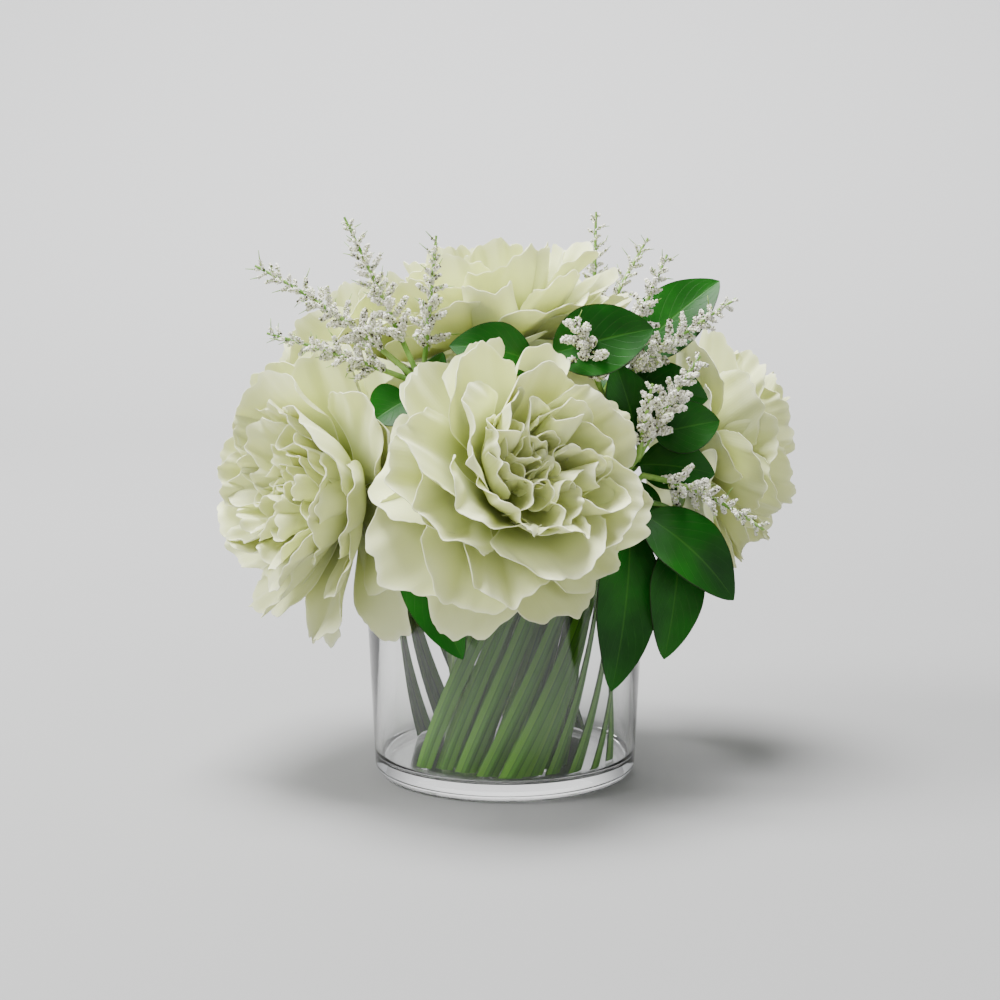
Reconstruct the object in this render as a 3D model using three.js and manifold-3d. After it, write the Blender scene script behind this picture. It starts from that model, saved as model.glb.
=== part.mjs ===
// A table centerpiece: five double peony heads, leafy stems, spray flowers and folded green
// blades in a clear glass vase. Millimetres, +Z up. The origin is the centre of the vase's
// underside, and the front bloom looks towards -Y.

import * as THREE from "three";
import { mergeVertices } from "three/addons/utils/BufferGeometryUtils.js";
import Module from "manifold-3d";

const wasm = await Module();
wasm.setup();

// ---------------------------------------------------------------- driving dimensions

const SEAT_GAP = 0.3; // between a piece and what it rests on
const CLEARANCE = 0.4; // kept round a stem, leaf or spray where a softer piece passes it
const MERGE_DISTANCE = 1e-4;

const VASE = {
  height: 120,
  footRadius: 62.5,
  taper: 0.0446, // outward run of the wall for each millimetre of height
  wall: 3,
  base: 8,
  footRound: 6,
  floorRound: 5,
  sides: 36,
};
const RIM_RADIUS = VASE.footRadius + VASE.taper * VASE.height;
const FLOOR = VASE.base + SEAT_GAP;

// Everything that stands in the vase leans round its axis alike, so nothing crosses below the rim.
const SWIRL = THREE.MathUtils.degToRad(0.57); // turn for each millimetre of height
const SWIRL_TOP = 112;

const PETAL_THICKNESS = 1;
const LEAF_THICKNESS = 0.9;
const PETIOLE = 0.1; // of the leaf's length

// Heads: base is where the calyx meets the petals, guard is the radius of the outermost ring.
const BLOOMS = [
  { name: "front", base: [-3.5, -57.6, 143], azimuth: -62, elevation: 21, guard: 69, turn: 24 },
  { name: "left", base: [-66, -10, 137], azimuth: 217, elevation: 10, guard: 73, turn: 40 },
  { name: "right", base: [86, 40, 148], azimuth: 12, elevation: 3, guard: 61, turn: 25 },
  { name: "top", base: [0, 12, 196], azimuth: 135, elevation: 82, guard: 68, turn: 0 },
  { name: "back", base: [-56, 48, 175], azimuth: 135, elevation: 25, guard: 62, turn: 15 },
];
const GUARD_RADIUS = 66; // the petal rings below are given for a head of this radius
const CROWD_CENTRE = 25; // the point on a head's axis that its petals are pressed towards

// Petal rings from the guard petals in to the whorl. root is where a petal starts, as its distance
// from the head's axis and its height on it. start and end are its lean from the axis at its root
// and its tip. cup is the radius it is curled to across its width, roll is how far one edge tucks
// under the next petal for each millimetre across, and wave is the depth of its ruffle. across is
// the number of facets over its width.
const RINGS = [
  {
    root: [7, 4], count: 7, length: 60, width: 54, start: 84, end: 97,
    cup: 80, roll: 0.22, wave: 1.5, across: 3,
  },
  {
    root: [9.5, 9], count: 5, length: 54, width: 50, start: 79, end: 46,
    cup: 50, roll: 0.24, wave: 1.4, across: 3,
  },
  {
    root: [10, 13], count: 4, length: 48, width: 42, start: 62, end: 14,
    cup: 34, roll: 0.26, wave: 1.4, across: 3,
  },
  {
    root: [7.5, 19], count: 3, length: 40, width: 27, start: 22, end: 2,
    cup: 16, roll: 0.4, wave: 1, across: 2,
  },
];
const PETAL_STEPS = 2; // from root to tip
const ROOT_WIDTH = 0.18; // of the petal's full width
const TIP_ROUNDING = 0.2; // of the petal's length, lost at its edges
const RUFFLE_WAVES = 1.3; // over half the petal's width
const RING_TURN = 23; // of each ring against the one outside it
const UNEVEN = { spacing: 0.12, lean: 2 }; // how far a petal strays from an even ring
const CORE = { radius: 13, height: 26, sides: 6, bands: 4 };

// Free space between two heads, and how far it is moved from the first towards the second.
const GAPS = [
  { pair: ["front", "top"], space: 7, shift: 1.5 },
  { pair: ["left", "front"], space: 2, shift: -4 },
];
const USUAL_SPACE = 1.8;
const SOFT_SHARE = 0.12; // of the way to a wall over which petals give way
const RIM_LEAN = 32; // lean of the plane that keeps petals off the rim
const RIM_SPACE = 2;
const RIM_HEADS = ["front", "right", "back"]; // the heads held clear of the rim by that plane
const DRAPED_HEADS = ["left"]; // the heads whose lower petals hang down in front of the glass
const DRAPE = { space: 4, start: 134, whole: 124 }; // from the glass, and the heights it sets in at

// Stems of the heads: ring is the radius they stand at, over is the way out above the rim.
const BLOOM_STEM = { radius: 3, sides: 6, steps: 8, cupSides: 8 };
const CALYX = 13; // depth of the green cup under a head
const CALYX_PROFILE = [
  [0, -CALYX],
  [BLOOM_STEM.radius + 1, -CALYX],
  [7.5, -8.5],
  [11, -2.5],
  [11.6, 1.4],
  [9.8, 1.6],
  [0, -0.35],
];
const NECK = { below: 8, sunk: 2 }; // the stem runs straight up to the cup and ends inside it
const BLOOM_ROUTES = {
  front: { ring: 30, rimAzimuth: -97, over: [[-5, -36, 124]] },
  left: { ring: 30, rimAzimuth: 187, over: [[-36, -1, 126], [-44, 1, 131]] },
  right: { ring: 30, rimAzimuth: 24, over: [[42, 21, 130], [62, 31, 144]] },
  top: { ring: 9, rimAzimuth: 95, over: [[1, 11, 150]] },
  back: { ring: 30, rimAzimuth: 141, over: [[-33, 27, 134], [-40, 32, 153]] },
};

const IN_VASE_LEVELS = [FLOOR, 42, 76, 106]; // heights that set a stem's course inside the vase

// Leafy stems. Each leaf runs from root to tip with its middle lifted along face.
const LEAF_STEM = { radius: 1.7, sides: 5, steps: 8 };
const LEAF_STATIONS = [0, PETIOLE, 0.3, 0.55, 0.8, 1]; // shares of its length
const LEAF_FOLD = 0.22; // rise of a leaf's edge for each millimetre from its rib
const PETIOLE_HALF_WIDTH = 1;
const LEAFY_STEMS = [
  {
    name: "leaves_right_low",
    ring: 25,
    rimAzimuth: -54,
    over: [[40, -36, 121], [52, -42, 130], [66, -46, 137], [82, -46, 131]],
    leaves: [
      { root: [57, -43.5, 132.5], tip: [48, -63, 53], width: 31, face: [0.35, -0.9, 0.2], lift: 6 },
      { root: [80, -46, 129], tip: [72.5, -54, 66], width: 27, face: [0.3, -0.95, 0.1], lift: 4 },
      { root: [58, -44, 134], tip: [104, -52, 93], width: 31, face: [0.2, -0.85, 0.45], lift: 10 },
    ],
  },
  {
    name: "leaves_right_mid",
    ring: 25,
    rimAzimuth: -30,
    over: [[42, -26, 130], [56, -33, 150], [66, -35, 168]],
    leaves: [
      { root: [65, -35, 166], tip: [98.5, -32, 173], width: 25, face: [0.1, -0.95, 0.3], lift: 4 },
      { root: [58, -33.5, 153], tip: [96, -38, 149], width: 25, face: [0.1, -0.9, 0.4], lift: 5 },
      { root: [61.5, -34.5, 160], tip: [50, -36, 200], width: 25, face: [0.3, -0.95, 0.1], lift: 3 },
      { root: [54.5, -32.5, 148], tip: [66, -52, 119], width: 20, face: [0.2, -0.8, 0.4], lift: 4 },
    ],
  },
  {
    name: "leaves_right_high",
    ring: 25,
    rimAzimuth: -6,
    over: [[36, -9, 140], [46, -16, 170], [54, -18, 198]],
    leaves: [
      { root: [54, -18, 196], tip: [100, -8, 236], width: 32, face: [-0.25, -0.9, 0.35], lift: 5 },
      { root: [50, -17, 184], tip: [94, -22, 182], width: 28, face: [0.1, -0.85, 0.5], lift: 6 },
    ],
  },
  {
    name: "leaves_top_front",
    ring: 25,
    rimAzimuth: -78,
    over: [[6, -28, 138], [12, -36, 170], [17, -43, 206]],
    leaves: [
      { root: [16.5, -42.5, 203], tip: [67, -42, 216], width: 33, face: [0.05, -0.95, 0.3], lift: 5 },
      { root: [16, -41.5, 199], tip: [-25, -54, 209], width: 25, face: [0.1, -0.9, 0.4], lift: 8 },
    ],
  },
  {
    name: "leaves_left_high",
    ring: 25,
    rimAzimuth: -146,
    over: [[-27, -22, 136], [-36, -36, 164], [-42, -45, 187]],
    leaves: [
      { root: [-42, -44.5, 185], tip: [-62, -61, 177], width: 24, face: [0.15, -0.8, 0.6], lift: 3 },
      { root: [-39.5, -41, 177], tip: [-28, -52, 206], width: 16, face: [0, -0.95, 0.2], lift: 2 },
    ],
  },
  {
    name: "leaves_left_low",
    ring: 25,
    rimAzimuth: -122,
    over: [[-27, -38, 121], [-38, -50, 129], [-44, -57, 131]],
    leaves: [
      { root: [-43, -56, 131], tip: [-19, -78, 71], width: 28, face: [-0.3, -0.92, 0.2], lift: 5 },
    ],
  },
  {
    name: "leaves_back_low",
    ring: 25,
    rimAzimuth: 84,
    over: [[4, 44, 124], [8, 60, 132], [14, 76, 138]],
    leaves: [
      { root: [14, 75, 138], tip: [8, 92, 58], width: 30, face: [0, 0.95, 0.2], lift: 6 },
      { root: [11, 68, 135], tip: [50, 84, 86], width: 28, face: [0.3, 0.9, 0.3], lift: 7 },
      { root: [8, 60, 132], tip: [-26, 90, 92], width: 27, face: [-0.2, 0.9, 0.4], lift: 7 },
    ],
  },
  {
    name: "leaves_back_mid",
    ring: 25,
    rimAzimuth: 66,
    over: [[24, 36, 132], [34, 50, 150], [43, 62, 166]],
    leaves: [
      { root: [42, 61, 165], tip: [60, 112, 176], width: 30, face: [0, -0.3, 0.95], lift: 8 },
      { root: [37, 54, 156], tip: [56, 108, 130], width: 28, face: [0.3, 0.6, 0.7], lift: 8 },
      { root: [33, 49, 149], tip: [22, 110, 156], width: 28, face: [-0.2, 0.5, 0.8], lift: 9 },
    ],
  },
  {
    name: "leaves_back_high",
    ring: 25,
    rimAzimuth: 108,
    over: [[-6, 38, 140], [-4, 50, 170], [0, 60, 192]],
    leaves: [
      { root: [0, 59, 190], tip: [14, 108, 206], width: 30, face: [0, 0.3, 0.95], lift: 6 },
      { root: [-2.5, 54, 180], tip: [-30, 100, 176], width: 28, face: [-0.2, 0.6, 0.75], lift: 7 },
    ],
  },
];

// Spray flowers: spikes that leave the head of one stem, each with side branchlets of florets.
const SPRAY_STEM = { radius: 1.5, sides: 4, steps: 8 };
const SPIKE = { radius: 0.9, sides: 3, steps: 2, bareTip: 0.12, bareFoot: 0.22 };
const BRANCHLET = {
  turn: 137.5, // round the stalk from one to the next
  strayTurn: 40,
  out: 0.8, // share of its direction away from the stalk
  onward: 0.6, // and along it
  footReach: 1.15, // of the spike's usual reach
  taper: 0.6, // of that reach lost by the tip
  strayReach: 0.3,
  straySpin: 3,
};
const FLORET = { radius: 2.6, waist: 1, step: 4.6, sides: 3 };
const HEAD_SINK = 0.04; // how far the spikes' feet are sunk into the stem, of its last stretch
const SPRAYS = [
  {
    name: "spray_left",
    ring: 25,
    rimAzimuth: -134,
    over: [[-22, -30, 134], [-31, -40, 162], [-38, -44, 192]],
    spikes: [
      { tip: [-114, -32, 244], rise: 8, branchlets: 5, reach: 13 },
      { tip: [-73, -34, 266], rise: 2, branchlets: 4, reach: 12 },
      { tip: [-31, -46, 258], rise: -3, branchlets: 4, reach: 10 },
      { tip: [-108, -42, 214], rise: 2, branchlets: 4, reach: 10 },
    ],
  },
  {
    name: "spray_right_high",
    ring: 25,
    rimAzimuth: -66,
    over: [[20, -30, 130], [36, -29, 158], [45, -36, 186]],
    spikes: [
      { tip: [74, -28, 249], rise: -3, branchlets: 5, reach: 12 },
      { tip: [106, -28, 229], rise: 3, branchlets: 5, reach: 12 },
      { tip: [30, -58, 221], rise: 3, branchlets: 4, reach: 9 },
    ],
  },
  {
    name: "spray_right_mid",
    ring: 25,
    rimAzimuth: -18,
    over: [[38, -20, 128], [50, -30, 142], [61, -43, 158]],
    spikes: [
      { tip: [88, -46, 204], rise: 2, branchlets: 5, reach: 13 },
      { tip: [66, -54, 192], rise: 0, branchlets: 4, reach: 9 },
    ],
  },
  {
    name: "spray_right_low",
    ring: 25,
    rimAzimuth: -42,
    over: [[38, -31, 124], [52, -37, 136], [63, -46, 150]],
    spikes: [{ tip: [117, -56, 126], rise: 8, branchlets: 7, reach: 12 }],
  },
  {
    name: "spray_back",
    ring: 25,
    rimAzimuth: 52,
    over: [[26, 33, 136], [36, 54, 170], [45, 74, 204]],
    spikes: [
      { tip: [46, 80, 267], rise: 0, branchlets: 4, reach: 10 },
      { tip: [72, 76, 254], rise: 2, branchlets: 4, reach: 10 },
      { tip: [40, 118, 226], rise: 4, branchlets: 5, reach: 11 },
    ],
  },
];

// Folded blades: where each foot stands on the vase's floor, its width, and its turn from the wall.
// Ten form the front row, the seven of the inner row stand behind its gaps, and five line the back.
const BLADE = { thickness: 1.2, fold: 0.14, top: 107, steps: 3 };
const BLADES = [
  { foot: [-38, -29], width: 9, turn: 14 },
  { foot: [-28.5, -32], width: 9, turn: 14 },
  { foot: [-18.5, -38], width: 10, turn: 12 },
  { foot: [-8.5, -46.5], width: 10, turn: 10 },
  { foot: [2, -51.5], width: 11, turn: -6 },
  { foot: [12.5, -45.5], width: 10, turn: 12 },
  { foot: [22, -40.5], width: 9, turn: 14 },
  { foot: [32, -39], width: 10, turn: 12 },
  { foot: [41.5, -33.5], width: 8, turn: 10 },
  { foot: [50, -14], width: 9, turn: -10 },
  { foot: [-22.7, -29], width: 8, turn: 0 },
  { foot: [-15, -33.6], width: 8, turn: 0 },
  { foot: [-6.4, -36.2], width: 8, turn: 0 },
  { foot: [2.6, -36.7], width: 8, turn: 0 },
  { foot: [11.4, -35], width: 8, turn: 0 },
  { foot: [19.5, -31.2], width: 8, turn: 0 },
  { foot: [26.5, -25.6], width: 8, turn: 0 },
  { foot: [-41, 31], width: 14, turn: 8 },
  { foot: [-29, 42], width: 14, turn: 10 },
  { foot: [-10, 50], width: 14, turn: -8 },
  { foot: [14, 49], width: 11, turn: 10 },
  { foot: [38, 36], width: 12, turn: -8 },
];

const COLOURS = {
  petal: 0xd8dabb,
  leaf: 0x2a5f1e,
  stem: 0x6f9c47,
  blade: 0x7da35e,
  spray: 0xdfe3d3,
  glass: 0xe8f0ee,
};

// ---------------------------------------------------------------- small helpers

const rad = THREE.MathUtils.degToRad;
const place = (numbers) => new THREE.Vector3(...numbers);

// Seeded numbers from 0 to 1, the same on every run.
function seededDraw(seed) {
  let state = seed;
  return () => {
    state = (state * 16807) % 2147483647;
    return state / 2147483647;
  };
}

function directionOf(azimuth, elevation) {
  const level = Math.cos(rad(elevation));
  return new THREE.Vector3(
    level * Math.cos(rad(azimuth)),
    level * Math.sin(rad(azimuth)),
    Math.sin(rad(elevation)),
  );
}

// A closed geometry as a solid that can be joined and cut.
function solidOf(geometry) {
  const bare = new THREE.BufferGeometry();
  bare.setAttribute("position", geometry.getAttribute("position"));
  bare.setIndex(geometry.getIndex());
  const merged = mergeVertices(bare, MERGE_DISTANCE);
  return new wasm.Manifold(
    new wasm.Mesh({
      numProp: 3,
      vertProperties: merged.getAttribute("position").array,
      triVerts: new Uint32Array(merged.getIndex().array),
    }),
  );
}

function joined(solids) {
  return solids.reduce((whole, next) => whole.add(next));
}

function largestBody(solid) {
  const bodies = solid.decompose();
  return bodies.reduce((best, body) => (body.volume() > best.volume() ? body : best));
}

// The solid less every one of the others that reaches into it.
function clearedOf(solid, others) {
  let cleared = solid;
  for (const other of others) {
    if (cleared.intersect(other).isEmpty()) continue;
    cleared = cleared.subtract(other);
  }
  return largestBody(cleared);
}

function meshOf(name, solid, material) {
  const { vertProperties, triVerts } = solid.getMesh();
  const geometry = new THREE.BufferGeometry();
  geometry.setAttribute("position", new THREE.BufferAttribute(vertProperties, 3));
  geometry.setIndex(new THREE.BufferAttribute(triVerts, 1));
  const mesh = new THREE.Mesh(geometry, material);
  mesh.name = name;
  return mesh;
}

function finish(colour, roughness) {
  return new THREE.MeshStandardMaterial({ color: colour, roughness, metalness: 0 });
}

// A round stem along a smooth curve through the points.
function stemGeometry(points, radius, sides, steps) {
  const section = new THREE.Shape();
  for (let i = 0; i < sides; i++) {
    const angle = (2 * Math.PI * i) / sides;
    const corner = [radius * Math.cos(angle), radius * Math.sin(angle)];
    if (i === 0) section.moveTo(...corner);
    else section.lineTo(...corner);
  }
  section.closePath();
  const extrudePath = new THREE.CatmullRomCurve3(points);
  return new THREE.ExtrudeGeometry(section, { steps, bevelEnabled: false, extrudePath });
}

// A thin sheet with two faces and a rim, from rows of points on its middle surface. Both faces
// are split into triangles alike.
function sheetGeometry(rows, thickness) {
  const last = { row: rows.length - 1, column: rows[0].length - 1 };
  const width = last.column + 1;
  const count = rows.length * width;
  const corners = [];
  for (const side of [0.5, -0.5]) {
    rows.forEach((row, j) => {
      row.forEach((middle, i) => {
        const right = row[Math.min(i + 1, last.column)].clone().sub(row[Math.max(i - 1, 0)]);
        const onward = rows[Math.min(j + 1, last.row)][i].clone().sub(rows[Math.max(j - 1, 0)][i]);
        const normal = right.cross(onward).normalize();
        corners.push(...middle.clone().addScaledVector(normal, side * thickness).toArray());
      });
    });
  }
  const faces = [];
  const quad = (a, b, c, d) => faces.push(a, b, c, a, c, d);
  for (let j = 0; j < last.row; j++) {
    for (let i = 0; i < last.column; i++) {
      const a = j * width + i;
      const [b, c, d] = [a + 1, a + width + 1, a + width];
      faces.push(a, b, c, a, c, d);
      faces.push(count + a, count + c, count + b, count + a, count + d, count + c);
    }
  }
  for (let i = 0; i < last.column; i++) {
    const top = last.row * width + i;
    quad(i + 1, i, count + i, count + i + 1);
    quad(top, top + 1, count + top + 1, count + top);
  }
  for (let j = 0; j < last.row; j++) {
    const left = j * width;
    const right = left + last.column;
    quad(left, left + width, count + left + width, count + left);
    quad(right + width, right, count + right, count + right + width);
  }
  const geometry = new THREE.BufferGeometry();
  geometry.setAttribute("position", new THREE.Float32BufferAttribute(corners, 3));
  geometry.setIndex(faces);
  return geometry;
}

// ---------------------------------------------------------------- vase

function vaseSolid() {
  const outer = (height) => VASE.footRadius + VASE.taper * height;
  const arc = (centreX, centreY, radius, from, to, count) => {
    const points = [];
    for (let i = 0; i <= count; i++) {
      const angle = rad(from + ((to - from) * i) / count);
      points.push([centreX + radius * Math.cos(angle), centreY + radius * Math.sin(angle)]);
    }
    return points;
  };
  const lip = VASE.wall / 2;
  const foot = arc(outer(VASE.footRound) - VASE.footRound, VASE.footRound, VASE.footRound, -90, 0, 2);
  const rim = arc(RIM_RADIUS - lip, VASE.height - lip, lip, 0, 180, 2);
  const inner = outer(VASE.base + VASE.floorRound) - VASE.wall;
  const hollow = arc(inner - VASE.floorRound, VASE.base + VASE.floorRound, VASE.floorRound, 0, -90, 2);
  const profile = [[0, 0], ...foot, ...rim, ...hollow, [0, VASE.base]];
  const lathe = new THREE.LatheGeometry(
    profile.map((corner) => new THREE.Vector2(...corner)),
    VASE.sides,
  );
  lathe.rotateX(Math.PI / 2);
  return solidOf(lathe);
}

// The room the vase takes up, its inside included, which petals are cut back from.
function vaseRoom() {
  const radius = (height) => VASE.footRadius + VASE.taper * height + CLEARANCE;
  const profile = [[0, 0], [radius(0), 0], [radius(VASE.height), VASE.height], [0, VASE.height]];
  const lathe = new THREE.LatheGeometry(
    profile.map((corner) => new THREE.Vector2(...corner)),
    VASE.sides,
  );
  lathe.rotateX(Math.PI / 2);
  return solidOf(lathe);
}

// ---------------------------------------------------------------- stems

// A stem's way up: round the vase's axis with the swirl to the rim, then through the points above.
function stemRoute({ ring, rimAzimuth, over }) {
  const inVase = IN_VASE_LEVELS.map((height) => {
    const azimuth = rad(rimAzimuth) - SWIRL * (SWIRL_TOP - height);
    return new THREE.Vector3(ring * Math.cos(azimuth), ring * Math.sin(azimuth), height);
  });
  return [...inVase, ...over.map(place)];
}

// The stem cut level where it stands on the vase's floor.
function standingStem(route, radius, { sides, steps }) {
  const lower = new THREE.Vector3(route[0].x, route[0].y, 0);
  const tube = solidOf(stemGeometry([lower, ...route], radius, sides, steps));
  const below = new THREE.BoxGeometry(2 * RIM_RADIUS, 2 * RIM_RADIUS, 2 * FLOOR);
  return tube.subtract(solidOf(below));
}

// ---------------------------------------------------------------- heads

function placeOf(bloom) {
  const axis = directionOf(bloom.azimuth, bloom.elevation);
  const side = new THREE.Vector3(0, 0, 1).cross(axis).normalize();
  const up = axis.clone().cross(side);
  const matrix = new THREE.Matrix4().makeBasis(side, up, axis);
  return matrix.setPosition(place(bloom.base));
}

function crowdCentre(bloom) {
  const axis = directionOf(bloom.azimuth, bloom.elevation);
  return place(bloom.base).addScaledVector(axis, CROWD_CENTRE);
}

// The planes that hold a head's petals clear of its neighbours and of the vase's rim.
function wallsRound(bloom) {
  const centre = crowdCentre(bloom);
  const walls = [];
  for (const other of BLOOMS) {
    if (other === bloom) continue;
    const across = crowdCentre(other).sub(centre);
    const distance = across.length();
    const gap = GAPS.find(({ pair }) => pair.includes(bloom.name) && pair.includes(other.name));
    const space = gap ? gap.space : USUAL_SPACE;
    const shift = gap ? gap.shift * (gap.pair[0] === bloom.name ? 1 : -1) : 0;
    const share = (bloom.guard - other.guard) * ((bloom.guard + other.guard) / (2 * distance));
    walls.push({ out: across.normalize(), reach: distance / 2 + share + shift - space / 2 });
  }
  if (!RIM_HEADS.includes(bloom.name)) return { centre, walls };
  const azimuth = Math.atan2(bloom.base[1], bloom.base[0]);
  const outward = new THREE.Vector3(Math.cos(azimuth), Math.sin(azimuth), 0);
  const rim = outward.clone().multiplyScalar(RIM_RADIUS).setZ(VASE.height);
  const lifted = outward.multiplyScalar(Math.cos(rad(RIM_LEAN))).setZ(Math.sin(rad(RIM_LEAN)));
  walls.push({ out: lifted.clone().negate(), reach: centre.clone().sub(rim).dot(lifted) - RIM_SPACE });
  return { centre, walls };
}

// A point pushed back inside the walls, harder the nearer it comes to one.
function pressed(point, { centre, walls }) {
  const ray = point.clone().sub(centre);
  const distance = ray.length();
  ray.divideScalar(distance);
  let reach = Infinity;
  for (const wall of walls) {
    const slope = wall.out.dot(ray);
    if (slope > 0) reach = Math.min(reach, wall.reach / slope);
  }
  const share = distance / reach;
  if (share <= 1 - SOFT_SHARE) return point;
  const given = SOFT_SHARE * Math.exp((1 - SOFT_SHARE - share) / SOFT_SHARE);
  return centre.clone().addScaledVector(ray, reach * (1 - given));
}

// A point that would lie inside the vase moved out to hang in front of its wall.
function draped(point) {
  const radius = Math.hypot(point.x, point.y);
  const wall = VASE.footRadius + VASE.taper * point.z + DRAPE.space;
  const share = 1 - THREE.MathUtils.smoothstep(point.z, DRAPE.whole, DRAPE.start);
  if (radius >= wall || share === 0) return point;
  const scale = 1 + (wall / radius - 1) * share;
  return new THREE.Vector3(point.x * scale, point.y * scale, point.z);
}

// A point of a petal's middle surface in the head's own frame: u runs across it from -1 to 1
// and v from root to tip. size scales the ring to the head.
function petalPoint(ring, size, azimuth, phase, lean, u, v) {
  const spread = THREE.MathUtils.smoothstep(v, -0.1, 0.7);
  const halfWidth = 0.5 * ring.width * (ROOT_WIDTH + (1 - ROOT_WIDTH) * spread);
  const x = u * halfWidth;
  const along = ring.length * (v - TIP_ROUNDING * Math.abs(u) ** 2.5 * v * v);
  const start = rad(ring.start + lean);
  const turn = rad(ring.end - ring.start);
  const theta = start + (turn * along) / ring.length;
  const bend = ring.length / turn;
  const radial = ring.root[0] + bend * (Math.cos(start) - Math.cos(theta));
  const height = ring.root[1] + bend * (Math.sin(theta) - Math.sin(start));
  const curl = x / ring.cup;
  const ruffle = ring.wave * v * v * Math.sin(2 * Math.PI * RUFFLE_WAVES * u + phase);
  const inward = ring.cup * (1 - Math.cos(curl)) + ring.roll * x + ruffle;
  const sideways = ring.cup * Math.sin(curl);
  const point = new THREE.Vector3(
    radial - inward * Math.cos(theta),
    sideways,
    height + inward * Math.sin(theta),
  );
  return point.multiplyScalar(size).applyAxisAngle(new THREE.Vector3(0, 0, 1), azimuth);
}

function bloomSolid(bloom, seed) {
  const draw = seededDraw(seed);
  const frame = placeOf(bloom);
  const crowd = wallsRound(bloom);
  const size = bloom.guard / GUARD_RADIUS;
  const core = new THREE.SphereGeometry(1, CORE.sides, CORE.bands);
  core.rotateX(Math.PI / 2);
  core.scale(CORE.radius, CORE.radius, CORE.height / 2);
  core.translate(0, 0, CORE.height / 2);
  core.applyMatrix4(frame);
  const pieces = [solidOf(core)];
  RINGS.forEach((ring, layer) => {
    for (let k = 0; k < ring.count; k++) {
      const step = k + UNEVEN.spacing * (draw() - 0.5);
      const azimuth = rad(bloom.turn + layer * RING_TURN) + (2 * Math.PI * step) / ring.count;
      const phase = 2 * Math.PI * draw();
      const lean = UNEVEN.lean * (draw() - 0.5);
      const rows = [];
      for (let j = 0; j <= PETAL_STEPS; j++) {
        const row = [];
        for (let i = 0; i <= ring.across; i++) {
          const u = (2 * i) / ring.across - 1;
          const local = petalPoint(ring, size, azimuth, phase, lean, u, j / PETAL_STEPS);
          const held = pressed(local.applyMatrix4(frame), crowd);
          row.push(DRAPED_HEADS.includes(bloom.name) ? draped(held) : held);
        }
        rows.push(row);
      }
      pieces.push(solidOf(sheetGeometry(rows, PETAL_THICKNESS)));
    }
  });
  return joined(pieces);
}

// The green cup under a head and the stem that carries it, as one piece.
function bloomStemSolid(bloom, extra) {
  const frame = placeOf(bloom);
  const cup = new THREE.LatheGeometry(
    CALYX_PROFILE.map(([x, y]) => new THREE.Vector2(x > 0 ? x + extra : 0, y)),
    BLOOM_STEM.cupSides,
  );
  cup.rotateX(Math.PI / 2);
  cup.applyMatrix4(frame);
  const under = new THREE.Vector3(0, 0, -CALYX - NECK.below).applyMatrix4(frame);
  const neck = new THREE.Vector3(0, 0, NECK.sunk - CALYX).applyMatrix4(frame);
  const route = [...stemRoute(BLOOM_ROUTES[bloom.name]), under, neck];
  return standingStem(route, BLOOM_STEM.radius + extra, BLOOM_STEM).add(solidOf(cup));
}

// ---------------------------------------------------------------- leaves

// A lance-shaped leaf folded along its rib and arched from root to tip.
function leafSolid({ root, tip, width, face, lift }, extra) {
  const start = place(root);
  const end = place(tip);
  const top = place(face).normalize();
  const middle = start.clone().lerp(end, 0.5).addScaledVector(top, 2 * lift);
  const rib = new THREE.QuadraticBezierCurve3(start, middle, end);
  const rows = LEAF_STATIONS.map((t) => {
    const along = rib.getTangent(t);
    const across = along.clone().cross(top).normalize();
    const normal = across.clone().cross(along);
    const opened = THREE.MathUtils.clamp((t - PETIOLE) / (1 - PETIOLE), 0.02, 0.98);
    const share = Math.sin(Math.PI * opened ** 0.8) ** 0.75;
    const half = Math.max(PETIOLE_HALF_WIDTH, 0.5 * width * share) + extra;
    return [-1, 0, 1].map((u) =>
      rib
        .getPoint(t)
        .addScaledVector(across, u * half)
        .addScaledVector(normal, Math.abs(u) * half * LEAF_FOLD),
    );
  });
  return solidOf(sheetGeometry(rows, LEAF_THICKNESS + 2 * extra));
}

function leafyStemSolid(plant, extra) {
  const stem = standingStem(stemRoute(plant), LEAF_STEM.radius + extra, LEAF_STEM);
  return joined([stem, ...plant.leaves.map((leaf) => leafSolid(leaf, extra))]);
}

// ---------------------------------------------------------------- sprays

// A branchlet covered in florets: a beaded rod that starts inside the stalk it grows from.
function branchletSolid(foot, way, count, spin, extra) {
  const { radius, waist, step, sides } = FLORET;
  const profile = [new THREE.Vector2(0, -0.2 * step)];
  for (let i = 0; i < count; i++) {
    profile.push(new THREE.Vector2(radius + extra, (i + 0.6) * step));
    if (i < count - 1) profile.push(new THREE.Vector2(waist + extra, (i + 1.1) * step));
  }
  profile.push(new THREE.Vector2(0, (count + 0.2) * step + extra));
  const beads = new THREE.LatheGeometry(profile, sides);
  beads.rotateY(spin);
  beads.applyQuaternion(new THREE.Quaternion().setFromUnitVectors(new THREE.Vector3(0, 1, 0), way));
  beads.translate(...foot.toArray());
  return solidOf(beads);
}

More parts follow.
